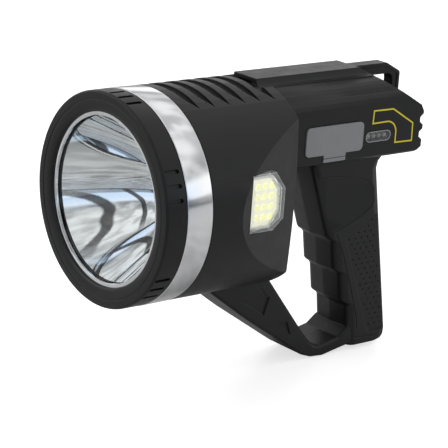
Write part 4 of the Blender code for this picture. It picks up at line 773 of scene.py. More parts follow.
class Bench:
    """Turns forms into finished objects."""

    def __init__(self) -> None:
        """Start with no materials made."""
        self.made: dict[str, bpy.types.Material] = {}

    def material(self, finish: Union[Finish, Clear]) -> bpy.types.Material:
        """Give the material of a finish, made once.

        Args:
            finish: the finish.

        Returns:
            Its material.
        """
        if finish.name not in self.made:
            self.made[finish.name] = finish.make()
        return self.made[finish.name]

    def thing(self, name: str, form: bmesh.types.BMesh) -> bpy.types.Object:
        """Make a bare object from a form.

        Args:
            name: the object's name.
            form: the form in the beam frame, which is used up.

        Returns:
            The object, with its place in its mesh.
        """
        bmesh.ops.translate(form, verts=form.verts, vec=DATUM)
        mesh = bpy.data.meshes.new(name)
        form.to_mesh(mesh)
        form.free()
        made = bpy.data.objects.new(name, mesh)
        bpy.context.scene.collection.objects.link(made)
        return made

    def cut(self, target: bpy.types.Object, cutter: bmesh.types.BMesh) -> None:
        """Cut a form out of an object at once.

        Args:
            target: the object that is cut.
            cutter: the form that is taken away, which is used up.
        """
        tool = self.thing("cutter", cutter)
        step = target.modifiers.new("cut", "BOOLEAN")
        step.operation = "DIFFERENCE"
        step.object = tool
        step.solver = "EXACT"
        mesh = evaluated_mesh(target)
        target.modifiers.clear()
        target.data = mesh
        bpy.data.objects.remove(tool)

    def dress(self, piece: bpy.types.Object, finish: Union[Finish, Clear], body: Body, slot: Slot,
              stands_for: Sequence[str] = (), bevel: float = 0.0, sharp: float = CREASE,
              evened: bool = False) -> bpy.types.Object:
        """Finish a piece.

        Args:
            piece: the object.
            finish: its finish.
            body: the body that it rides on.
            slot: a material slot; not used.
            stands_for: the nodes that it replaces.
            bevel: the width of its rounded edges.
            sharp: the angle in degrees above which an edge stays sharp.
            evened: whether large flat faces keep their own normals.

        Returns:
            The piece.
        """
        if bevel > 0.0:
            edge = piece.modifiers.new("edges", "BEVEL")
            edge.width = bevel
            edge.segments = EDGE_SEGMENTS
            edge.limit_method = "ANGLE"
            edge.angle_limit = radians(sharp)
            edge.harden_normals = True
        if evened:
            even = piece.modifiers.new("even", "WEIGHTED_NORMAL")
            even.weight = EVEN_WEIGHT
            even.keep_sharp = True
        piece.data.shade_smooth()
        piece.data.set_sharp_from_angle(angle=radians(sharp))
        piece.data.materials.clear()
        piece.data.materials.append(self.material(finish))
        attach(piece, body.value)
        if stands_for:
            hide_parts(*stands_for)
        LOG.info("%s: %d faces", piece.name, len(piece.data.polygons))
        return piece

    def piece(self, name: str, form: bmesh.types.BMesh, finish: Union[Finish, Clear], body: Body,
              slot: Slot, stands_for: Sequence[str] = (), bevel: float = 0.0,
              sharp: float = CREASE) -> bpy.types.Object:
        """Make and finish a piece from a form; the arguments are those of thing and dress."""
        return self.dress(self.thing(name, form), finish, body, slot, stands_for, bevel, sharp)

    def repaint(self, finish: Finish, *nodes: str) -> None:
        """Give carried-over nodes a finish.

        Args:
            finish: the finish.
            nodes: the nodes' names.
        """
        for node in nodes:
            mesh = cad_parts[node].data
            mesh.materials.clear()
            mesh.materials.append(self.material(finish))
            LOG.info("%s: repainted as %s", node, finish.name)


@dataclass
class Head:
    """Bezel, chrome band, lens, bowl and light source."""

    bench: Bench
    palette: Palette
    outer: float = 62.8 * MM
    rear_y: float = 14.7 * MM
    bore: float = 58.8 * MM
    face: float = 57.6 * MM
    lip: float = 50.5 * MM
    lip_rear_y: float = 3.6 * MM
    edge: float = 1.5 * MM
    bead: float = 0.35 * MM
    bead_drop: float = 0.2 * MM
    lip_height: float = 1.2 * MM
    rear_edge: float = 0.3 * MM
    curve_steps: int = 8
    groups: int = 6
    notches: int = 3
    notch_pitch: float = radians(7.5)
    group_turn: float = radians(9.0)
    notch_size: Point2 = (2.4 * MM, 10.6 * MM)
    notch_y: Point2 = (2.6 * MM, 11.8 * MM)
    notch_depth: float = 1.4 * MM
    notch_reach: float = 4.0 * MM
    notch_steps: int = 5
    band_radius: float = 63.0 * MM
    band_y: Point2 = (15.0 * MM, 32.8 * MM)
    band_edge: float = 0.5 * MM
    band_taper: float = 1.4
    roll_steps: int = 5
    flange_y: float = 7.3 * MM
    flange: float = 1.5 * MM
    flange_gap: float = 0.3 * MM
    mouth: float = 48.0 * MM
    focus: float = 12.0 * MM
    hole: float = 7.0 * MM
    wall: float = 1.8 * MM
    bowl_steps: int = 36
    ring_gaps: Point2 = (0.2 * MM, 0.1 * MM)
    ring_y: tuple[float, float, float] = (3.1 * MM, 3.4 * MM, 4.6 * MM)
    ring_edge: float = 0.3 * MM
    dome: float = 3.1 * MM
    dome_steps: int = 10
    seat: float = 1.0 * MM
    lens_edge: float = 0.25 * MM

    def bezel(self) -> bmesh.types.BMesh:
        """Draw the front ring.

        Returns:
            The ring without its notches.
        """
        front = BEZEL_FRONT_Y
        inner, top = self.face - self.bead, front + self.bead_drop
        profile = arc((self.outer - self.edge, front + self.edge), self.edge, 0.0, -pi / 2.0,
                      self.curve_steps)
        profile += [(self.face + self.bead, front), (self.face, front + self.bead), (inner, top)]
        reach = inner - self.lip
        drop = self.lip_rear_y - self.lip_height - front
        for i in range(1, self.curve_steps + 1):
            turn = pi / 2.0 * i / self.curve_steps
            profile.append((inner - reach * sin(turn), top + drop * (1.0 - cos(turn))))
        profile += [(self.lip, self.lip_rear_y), (self.bore, self.lip_rear_y), (self.bore, self.rear_y),
                    (self.outer - self.rear_edge, self.rear_y), (self.outer, self.rear_y - self.rear_edge)]
        return turned(profile)

    def notch_cutters(self) -> bmesh.types.BMesh:
        """Draw the groups of short grip notches round the front ring.

        Returns:
            All the cutters.
        """
        cutters = []
        middle = sum(self.notch_y) / 2.0
        width, length = self.notch_size
        for group in range(self.groups):
            for notch in range(self.notches):
                turn = 2.0 * pi * group / self.groups + self.group_turn
                turn += (notch - (self.notches - 1) / 2.0) * self.notch_pitch
                slot = obround(length, width, (middle, 0.0), self.notch_steps)
                outline = [(across, along) for along, across in slot]
                cutter = extruded(outline, Axis.Z, self.outer - self.notch_depth,
                                  self.outer + self.notch_reach)
                bmesh.ops.rotate(cutter, verts=cutter.verts, cent=(0, 0, 0),
                                 matrix=Matrix.Rotation(turn, 3, "Y"))
                cutters.append(cutter)
        return joined(cutters)

    def band(self) -> bmesh.types.BMesh:
        """Draw the polished band with its rolled edges.

        Returns:
            The closed band.
        """
        front, rear = self.band_y
        soft = self.band_edge
        profile = [(self.bore, front)]
        profile += arc((self.band_radius - soft, front + soft), soft, -pi / 2.0, 0.0, self.roll_steps)
        profile += arc((self.band_radius - self.band_taper * soft, rear - soft), soft, 0.0, pi / 2.0,
                       self.roll_steps)
        profile += [(self.bore, rear)]
        return turned(profile)

    def bowl(self) -> bmesh.types.BMesh:
        """Draw the deep mirror with its flange.

        Returns:
            The closed form.
        """
        vertex = self.flange_y + self.mouth**2 / (4.0 * self.focus)
        span = self.mouth - self.hole
        radii = [self.mouth - span * (i / self.bowl_steps) for i in range(self.bowl_steps + 1)]
        inside = [(r, vertex - r**2 / (4.0 * self.focus)) for r in radii]
        outside = []
        for r in reversed(radii):
            lean = sqrt(1.0 + (r / (2.0 * self.focus))**2)
            outside.append((r + self.wall * r / (2.0 * self.focus) / lean,
                            vertex - r**2 / (4.0 * self.focus) + self.wall / lean))
        rear = self.flange_y + self.flange
        back = [point for point in outside if point[1] > rear + self.flange]
        rim = [(back[-1][0] + self.wall / 2.0, rear), (self.bore - self.flange_gap, rear),
               (self.bore - self.flange_gap, self.flange_y)]
        foot = [(self.hole, inside[-1][1] + self.wall)]
        return turned(inside + foot + back + rim)

    def mouth_ring(self) -> bmesh.types.BMesh:
        """Draw the polished ring that shows between the bezel's lip and the bowl.

        Returns:
            The closed ring.
        """
        low, high = self.mouth + self.ring_gaps[0], self.lip - self.ring_gaps[1]
        front, soft, rear = self.ring_y
        return turned([(low, soft), (low + self.ring_edge, front), (high, front), (high, rear), (low, rear)])

    def emitter(self) -> bmesh.types.BMesh:
        """Draw the dome of the light source over its square seat.

        Returns:
            Both closed forms.
        """
        low, high = beam_box("main_emitter")
        seat = high.y - self.seat
        turns = [pi / 2.0 * i / self.dome_steps for i in range(self.dome_steps + 1)]
        dome = [(self.dome * sin(turn), seat - self.dome * cos(turn)) for turn in turns]
        square = [(low.x, low.z), (high.x, low.z), (high.x, high.z), (low.x, high.z)]
        return joined([turned(dome + [(0.0, seat)], SMALL_TURN), extruded(square, Axis.Y, seat, high.y)])

    def build(self) -> None:
        """Make every piece of the head."""
        colours = self.palette
        bezel = self.bench.thing("front_bezel", self.bezel())
        self.bench.cut(bezel, self.notch_cutters())
        self.bench.dress(bezel, colours.front_ring, Body.LAMP, Slot.BEZEL, ["bezel_ring"])
        self.bench.piece("chrome_band", self.band(), colours.chrome, Body.LAMP, Slot.TRIM, ["trim_ring"])
        self.bench.piece("mirror_bowl", self.bowl(), colours.mirror, Body.LAMP, Slot.REFLECTOR,
                         ["main_reflector"])
        self.bench.piece("mouth_ring", self.mouth_ring(), colours.chrome, Body.LAMP, Slot.REFLECTOR)
        low, high = beam_box("front_lens")
        soft = self.lens_edge
        disc = [(0.0, low.y), (high.x - soft, low.y), (high.x, low.y + soft), (high.x, high.y - soft),
                (high.x - soft, high.y), (0.0, high.y)]
        self.bench.piece("lens_disc", turned(disc), colours.lens, Body.LAMP, Slot.LENS, ["front_lens"])
        self.bench.piece("emitter_dome", self.emitter(), colours.phosphor, Body.LAMP, Slot.EMITTER,
                         ["main_emitter"])
        self.bench.repaint(colours.black_rubber, "lens_gasket")
        self.bench.repaint(colours.white, "centring_ring")
        self.bench.repaint(colours.white_board, "emitter_board")
        self.bench.repaint(colours.aluminium, "heat_sink")


@dataclass
class Housing:
    """Both halves of the moulded clamshell, with their finest surface detail.

    The outlines, panel_radii, panel_margin, lattice_start and line_step are in millimetres along Y and Z;
    the other sizes are in metres.
    """

    bench: Bench
    palette: Palette
    half_width: float = 17.0 * MM
    sharp: float = 28.0
    panel: Outline = ((202.0, -28.4), (177.6, -42.4), (203.4, -109.0), (218.7, -107.4))
    panel_radii: tuple[float, ...] = (2.0, 2.2, 3.0, 2.0)
    panel_depth: float = 0.7 * MM
    panel_margin: float = 2.3
    rear_corner: float = 8.0 * MM
    rear_top_y: float = 202.6 * MM
    rear_slope: float = 0.179
    rear_share: float = 0.98
    lattice_start: Point2 = (176.0, -30.0)
    lattice_rows: int = 26
    lattice_columns: int = 12
    dimple_pitch: Point2 = (5.1 * MM, 3.5 * MM)
    dimple_radii: Point2 = (0.75 * MM * 0.45, 0.75 * MM * 1.35)
    dimple_depth: float = 0.8 * MM
    dimple_height: float = 1.6 * MM
    dimple_sides: int = 8
    line_radius: float = 0.45 * MM
    line_step: float = 2.5
    seam: Outline = ((169.5, -39.0), (176.1, -51.8), (184.7, -74.6), (192.8, -97.8), (193.5, -104.5))
    foot: Outline = ((191.3, -110.4), (217.0, -112.6))
    panel_edge: Outline = ((204.7, -29.6), (210.3, -62.0), (217.2, -104.0), (215.8, -107.0))
    dish_edge: Outline = ((162.0, -0.7), (180.0, -2.9), (192.4, -7.2), (197.8, -12.5), (198.8, -20.9),
                          (196.3, -24.7), (189.0, -29.4), (177.6, -34.3), (166.0, -38.0))
    dish_rim: Outline = ((141.0, -0.5), (161.0, -0.5), (181.0, -3.1), (193.0, -8.0), (198.4, -13.5),
                         (198.8, -21.0), (195.8, -25.4), (178.0, -34.6), (164.0, -39.0), (141.0, -39.0))
    dish_floor: Outline = ((141.0, -2.0), (160.0, -2.3), (190.0, -9.6), (191.0, -20.0), (162.0, -26.0),
                           (141.0, -26.0))
    dish_depths: tuple[float, ...] = (1.9 * MM, 1.9 * MM, 1.1 * MM, 1.1 * MM, 1.9 * MM, 1.9 * MM)
    above: float = 6.0 * MM
    guard_half_width: float = 16.2 * MM
    triangles: tuple[Outline, ...] = (((97.4, -71.4), (115.9, -83.2), (119.8, -71.6)),
                                      ((126.2, -89.0), (139.0, -99.8), (135.5, -90.6)))
    triangle_depth: float = 0.9 * MM
    chamfer_ends: Outline = ((70.0, -61.2), (147.0, -112.6))
    chamfer_width: float = 4.0 * MM
    chamfer_heights: Point2 = (5.2 * MM, 1.6 * MM)
    loop_half_width: float = 4.25 * MM
    loop_step: Outline = ((188.2, 61.2), (209.9, 61.2), (220.7, 55.9), (220.7, 42.5))
    loop_step_depth: float = 0.5 * MM
    lobe_y: Point2 = (135.0 * MM, 192.0 * MM)
    lobe_z: Point2 = (-112.0 * MM, 9.0 * MM)
    lobe_half_width: float = 16.9 * MM
    lobe_upright: float = 0.6
    lobe_crease: float = radians(50.0)
    parting: float = 0.01 * MM
    parting_reach: float = 0.3 * MM

    def slab(self, side: Side, low: float, corners: Sequence[Point2],
             radii: Sequence[float] = ()) -> bmesh.types.BMesh:
        """Draw a shallow cutter over an outline on one side.

        Args:
            side: the half that it is for.
            low: how far from the middle plane its floor lies.
            corners: the outline along Y and Z, in millimetres.
            radii: the radius at each corner, in millimetres.

        Returns:
            The cutter.
        """
        outline = rounded([(y * MM, z * MM) for y, z in corners],
                          [r * MM for r in radii] or [0.0] * len(corners))
        ends = sorted((side * low, side * (self.half_width + self.above)))
        return extruded(outline, Axis.X, *ends)

    def scoop(self, side: Side) -> bmesh.types.BMesh:
        """Draw the thumb dish, deepest at the front and fading downwards.

        Args:
            side: the half that it is for.

        Returns:
            The cutter.
        """
        points = [(x, y, z) for x in (self.half_width, self.half_width + self.above)
                  for y, z in self.dish_rim]
        points += [(self.half_width - depth, y, z)
                   for depth, (y, z) in zip(self.dish_depths, self.dish_floor)]
        return hull([(side * x, y * MM, z * MM) for x, y, z in points])

    def chamfer(self, side: Side) -> bmesh.types.BMesh:
        """Draw the long bevel along the guard's lower edge, tapering towards its foot.

        Args:
            side: the half that it is for.

        Returns:
            The cutter.
        """
        high = self.guard_half_width
        low, out = high - self.chamfer_width, high + self.above
        points = []
        for end, drop in zip(self.chamfer_ends, self.chamfer_heights):
            y, z = end[0] * MM, end[1] * MM
            points += [(high, y, z), (out, y, z), (out, y, z - drop - self.above), (low, y, z - drop),
                       (low, y, z - drop - self.above)]
        return hull([(side * x, y, z) for x, y, z in points])

    def carving(self, side: Side) -> list[bmesh.types.BMesh]:
        """List the shallow forms cut from one side.

        Args:
            side: the half that it is for.

        Returns:
            The cutters, each for a cut of its own.
        """
        notch = self.guard_half_width - self.triangle_depth
        return [self.scoop(side),
                self.slab(side, self.half_width - self.panel_depth, self.panel, self.panel_radii),
                joined([self.slab(side, notch, triangle) for triangle in self.triangles]),
                self.chamfer(side),
                self.slab(side, self.loop_half_width - self.loop_step_depth, self.loop_step)]

    def surface_x(self, y: float, z: float, sunk: float = 0.0) -> float:
        """Work out how far from the middle plane the grip's side lies.

        Args:
            y: place along the lamp.
            z: height.
            sunk: how deep the flat side is recessed there.

        Returns:
            The distance, which falls off round the rear corner.
        """
        start = self.rear_top_y - self.rear_slope * z - self.rear_corner
        past = min(max(0.0, y - start), self.rear_share * self.rear_corner)
        return min(self.half_width - sunk,
                   self.half_width - self.rear_corner + sqrt(self.rear_corner**2 - past**2))

    def panel_points(self) -> list[Point2]:
        """Lay out the dimples of the texture panel on a staggered lattice.

        Returns:
            The dimples' places along Y and Z.
        """
        wide, tall = (pitch / MM for pitch in self.dimple_pitch)
        front, top = self.lattice_start
        places = []
        for row in range(self.lattice_rows):
            for column in range(self.lattice_columns):
                spot = Vector((front + column * wide + (row % 2) * wide / 2.0, top - row * tall))
                if self.margin_at(spot) > self.panel_margin:
                    places.append((spot.x * MM, spot.y * MM))
        return places

    def margin_at(self, spot: Vector) -> float:
        """Work out how far inside the panel's nearest edge a spot lies.

        Args:
            spot: the place along Y and Z, in millimetres.

        Returns:
            The distance in millimetres, below 0 outside the panel.
        """
        corners = [Vector(corner) for corner in self.panel]
        margins = []
        for i, corner in enumerate(corners):
            along = (corners[(i + 1) % len(corners)] - corner).normalized()
            margins.append((spot - corner).dot(Vector((-along.y, along.x))))
        return min(margins)

    def dimples(self, side: Side) -> bmesh.types.BMesh:
        """Draw the cutters of the dimples on one side.

        Args:
            side: the half that it is for.

        Returns:
            All the cutters.
        """
        form = bmesh.new()
        for y, z in self.panel_points():
            x = self.surface_x(y, z, self.panel_depth)
            middle = x - self.dimple_depth + self.dimple_height / 2.0
            spot = Matrix.Translation((side * middle, y, z)) @ Matrix.Rotation(side * pi / 2.0, 4, "Y")
            bmesh.ops.create_cone(form, cap_ends=True, cap_tris=False, segments=self.dimple_sides,
                                  radius1=self.dimple_radii[0], radius2=self.dimple_radii[1],
                                  depth=self.dimple_height, matrix=spot)
        return form

    def line(self, side: Side, points: Sequence[Point2]) -> bmesh.types.BMesh:
        """Draw a round-bottomed line cutter that follows the grip's side.

        Args:
            side: the half that it is for.
            points: the line's places along Y and Z, in millimetres.

        Returns:
            The cutter.
        """
        curve = bpy.data.curves.new("line", "CURVE")
        curve.dimensions = "3D"
        curve.bevel_depth = self.line_radius
        curve.bevel_resolution = 1
        curve.use_fill_caps = True
        spline = curve.splines.new("POLY")
        dense = []
        for start, end in zip(points, points[1:]):
            steps = max(1, int((Vector(end) - Vector(start)).length / self.line_step))
            dense += [Vector(start).lerp(Vector(end), i / steps) for i in range(steps)]
        dense.append(Vector(points[-1]))
        spline.points.add(len(dense) - 1)
        for spot, place in zip(spline.points, dense):
            y, z = place * MM
            spot.co = (side * self.surface_x(y, z), y, z, 1.0)
        holder = bpy.data.objects.new("line", curve)
        bpy.context.scene.collection.objects.link(holder)
        form = bmesh.new()
        form.from_mesh(evaluated_mesh(holder))
        bpy.data.objects.remove(holder)
        return closed(form)

    def half(self, name: str, node: str, side: Side) -> None:
        """Make one half.

        Args:
            name: the piece's name.
            node: the node that it stands for.
            side: the half that it is for.
        """
        form = copy_of(node)
        for vertex in form.verts:
            if abs(vertex.co.x) < self.parting_reach:
                vertex.co.x = side * self.parting
        shell = self.bench.thing(name, form)
        for cutter in self.carving(side):
            self.bench.cut(shell, cutter)
        self.bench.cut(shell, self.dimples(side))
        self.bench.cut(shell, joined([self.line(side, self.seam), self.line(side, self.foot)]))
        self.bench.cut(shell, self.line(side, self.panel_edge))
        self.bench.cut(shell, self.line(side, self.dish_edge))
        self.bench.dress(shell, self.palette.moulding, Body.LAMP, Slot.HOUSING, [node], sharp=self.sharp,
                         evened=True)
        self.soften(shell)

    def soften(self, shell: bpy.types.Object) -> None:
        """Let the light run round the faceted corners of the finger lobes.

        Args:
            shell: the finished half.
        """
        form = bmesh.new()
        form.from_mesh(shell.data)
        for edge in form.edges:
            start, end = (vertex.co for vertex in edge.verts)
            middle = (start + end) / 2.0 - DATUM
            lobe = (abs(middle.x) < self.lobe_half_width and self.lobe_y[0] < middle.y < self.lobe_y[1]
                    and self.lobe_z[0] < middle.z < self.lobe_z[1])
            upright = abs((start - end).normalized().z) > self.lobe_upright
            if lobe and upright and edge.calc_face_angle(pi) < self.lobe_crease:
                edge.smooth = True
        form.to_mesh(shell.data)
        form.free()

    def build(self) -> None:
        """Make both halves and dress the screws."""
        self.half("right_shell", "housing_right", Side.RIGHT)
        self.half("left_shell", "housing_left", Side.LEFT)
        screws = [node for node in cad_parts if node.startswith("housing_screw_")]
        self.bench.repaint(self.palette.steel, *sorted(screws))


@dataclass
class SideLamp:
    """Clear cover, silvered tray and rows of light chips in the barrel's side."""

    bench: Bench
    palette: Palette
    rows: int = 4
    columns: int = 3
    row_pitch: float = 6.2 * MM
    column_pitch: float = 5.2 * MM
    chip: float = 2.8 * MM
    chip_height: float = 0.65 * MM
    chip_corner: float = 0.5 * MM
    board_drop: float = 0.7 * MM
    board_radii: tuple[float, ...] = (0.4 * MM, 4.6 * MM, 4.6 * MM, 0.4 * MM)
    cover_bevel: float = 0.25 * MM
    cover_sharp: float = 20.0
    middle_y: float = 75.9 * MM
    centre_z: float = 4.25 * MM

    def chips(self, top: float) -> bmesh.types.BMesh:
        """Draw the chips as shallow rounded pads.

        Args:
            top: where their outer faces lie along X.

        Returns:
            All the chips.
        """
        pads = []
        for row in range(self.rows):
            for column in range(self.columns):
                y = self.middle_y + (column - (self.columns - 1) / 2.0) * self.column_pitch
                z = self.centre_z + (row - (self.rows - 1) / 2.0) * self.row_pitch
                half = self.chip / 2.0
                corners = [(y - half, z - half), (y + half, z - half), (y + half, z + half),
                           (y - half, z + half)]
                pad = rounded(corners, [self.chip_corner] * len(corners), steps=3)
                pads.append(extruded(pad, Axis.X, top - self.chip_height, top))
        return joined(pads)

    def build(self) -> None:
        """Make the cover, the board and the chips, and dress the tray."""
        colours = self.palette
        self.bench.piece("lamp_cover", copy_of("side_window"), colours.window, Body.LAMP, Slot.WINDOW,
                         ["side_window"], bevel=self.cover_bevel, sharp=self.cover_sharp)
        low, high = beam_box("side_led_board")
        corners = [(low.y, low.z), (high.y, low.z), (high.y, high.z), (low.y, high.z)]
        outline = rounded(corners, self.board_radii, steps=4)
        board = extruded(outline, Axis.X, low.x, high.x - self.board_drop)
        self.bench.piece("chip_board", board, colours.cream, Body.LAMP, Slot.BOARD, ["side_led_board"])
        self.bench.piece("light_chips", self.chips(high.x), colours.phosphor, Body.LAMP, Slot.EMITTER)
        self.bench.repaint(colours.silver_tray, "side_tray")


@dataclass
class Ports:
    """Rubber cover over the two sockets, its anchor and the main board."""

    bench: Bench
    palette: Palette
    flap_bevel: float = 0.3 * MM
    root_bevel: float = 0.2 * MM

    def build(self) -> None:
        """Make the cover and its anchor with soft edges, and dress the rest."""
        colours = self.palette
        self.bench.piece("cover_flap", copy_of("port_cover"), colours.grey_rubber, Body.COVER, Slot.COVER,
                         ["port_cover"], bevel=self.flap_bevel)
        self.bench.piece("cover_root", copy_of("port_cover_anchor"), colours.grey_rubber, Body.LAMP,
                         Slot.COVER, ["port_cover_anchor"], bevel=self.root_bevel)
        self.bench.repaint(colours.steel, "usb_socket", "charge_socket")
        self.bench.repaint(colours.green_board, "main_board")


@dataclass
class Gauge:
    """Charge gauge with four lights, and the yellow outline round the bare panel above it.

    The outline's corners and radii are in millimetres along Y and Z; the other sizes are in metres.
    """

    bench: Bench
    palette: Palette
    centre: Point2 = (188.8 * MM, 23.8 * MM)
    length: float = 20.5 * MM
    height: float = 6.5 * MM
    wall_x: float = 25.5 * MM
    rim_width: float = 0.55 * MM
    rim_reach: Point2 = (0.2 * MM, 0.28 * MM)
    leds: int = 4
    led_pitch: float = 4.5 * MM
    led_radius: float = 1.55 * MM
    led_drop: float = 0.9 * MM
    led_foot: float = 3.0 * MM
    led_height: float = 0.8
    led_steps: int = 8
    led_turn: int = 24
    corners: Outline = ((183.4, 40.5), (199.8, 40.3), (217.6, 29.6), (217.9, 17.6), (202.9, 17.9),
                        (202.9, 32.0), (183.0, 31.7))
    radii: tuple[float, ...] = (0.0, 0.0, 0.0, 0.0, 0.0, 7.4, 0.0)
    line: float = 0.9 * MM
    line_reach: Point2 = (0.1 * MM, 0.12 * MM)

    def lights(self) -> bmesh.types.BMesh:
        """Draw the row of domed lights close under the window.

        Returns:
            All the domes.
        """
        radius, height = self.led_radius, self.led_height * self.led_radius
        turns = [pi / 2.0 * i / self.led_steps for i in range(self.led_steps + 1)]
        profile = [(0.0, -self.led_foot), (radius, -self.led_foot)]
        profile += [(radius * cos(turn), height * sin(turn) - height) for turn in turns]
        domes = []
        for i in range(self.leds):
            y = self.centre[0] + (i - (self.leds - 1) / 2.0) * self.led_pitch
            dome = turned(profile, self.led_turn)
            bmesh.ops.rotate(dome, verts=dome.verts, cent=(0, 0, 0),
                             matrix=Matrix.Rotation(-pi / 2.0, 3, "Z"))
            bmesh.ops.translate(dome, verts=dome.verts, vec=(self.wall_x - self.led_drop, y, self.centre[1]))
            domes.append(dome)
        return joined(domes)

    def rim(self) -> bmesh.types.BMesh:
        """Draw the thin bright rim of the window.

        Returns:
            The closed ring.
        """
        outline = obround(self.length, self.height, self.centre, steps=16)
        return self.ring(outline, self.rim_width, self.wall_x - self.rim_reach[0],
                         self.wall_x + self.rim_reach[1])

    def ring(self, outline: Sequence[Point2], width: float, low: float, high: float) -> bmesh.types.BMesh:
        """Draw a flat band just inside an outline.

        Args:
            outline: the band's outer line along Y and Z.
            width: how wide it is.
            low: its inner face along X.
            high: its outer face.

        Returns:
            The closed band.
        """
        form = bmesh.new()
        outer = [form.verts.new((low, y, z)) for y, z in outline]
        inner = [form.verts.new((low, y, z)) for y, z in inset(outline, width)]
        for i in range(len(outer)):
            form.faces.new((outer[i - 1], outer[i], inner[i], inner[i - 1]))
        grown = bmesh.ops.extrude_face_region(form, geom=form.faces[:])["geom"]
        bmesh.ops.translate(form, verts=points_in(grown), vec=(high - low, 0.0, 0.0))
        return closed(form)

    def outline(self) -> list[Point2]:
        """Give the yellow line's outer edge along Y and Z.

        Returns:
            The closed outline.
        """
        scaled = [(y * MM, z * MM) for y, z in self.corners]
        return rounded(scaled, [radius * MM for radius in self.radii], steps=12)

    def build(self) -> None:
        """Make the window, its rim, the lights and the line."""
        colours = self.palette
        self.bench.piece("gauge_lens", copy_of("gauge_window"), colours.gauge, Body.LAMP, Slot.WINDOW,
                         ["gauge_window"])
        self.bench.piece("gauge_rim", self.rim(), colours.rim_grey, Body.LAMP, Slot.WINDOW)
        self.bench.piece("gauge_lights", self.lights(), colours.led, Body.LAMP, Slot.EMITTER)
        line = self.ring(self.outline(), self.line, self.wall_x - self.line_reach[0],
                         self.wall_x + self.line_reach[1])
        self.bench.piece("panel_line", line, colours.paint, Body.LAMP, Slot.TRIM)
        self.bench.repaint(colours.dark_board, "gauge_board")


@dataclass
class Power:
    """Rear buttons, their switches and the battery."""

    bench: Bench
    palette: Palette
    key_bevel: float = 0.4 * MM

    def build(self) -> None:
        """Make both buttons with soft edges, and dress the rest."""
        colours = self.palette
        for name, node, body in (("power_key", "power_button", Body.POWER),
                                 ("side_lamp_key", "side_lamp_button", Body.SIDE)):
            self.bench.piece(name, copy_of(node), colours.grey_rubber, body, Slot.BUTTON, [node],
                             bevel=self.key_bevel)
        self.bench.repaint(colours.green_board, "switch_board")
        self.bench.repaint(colours.wrap, "battery_cell_lower", "battery_cell_upper")
        self.bench.repaint(colours.black_rubber, "battery_holder")


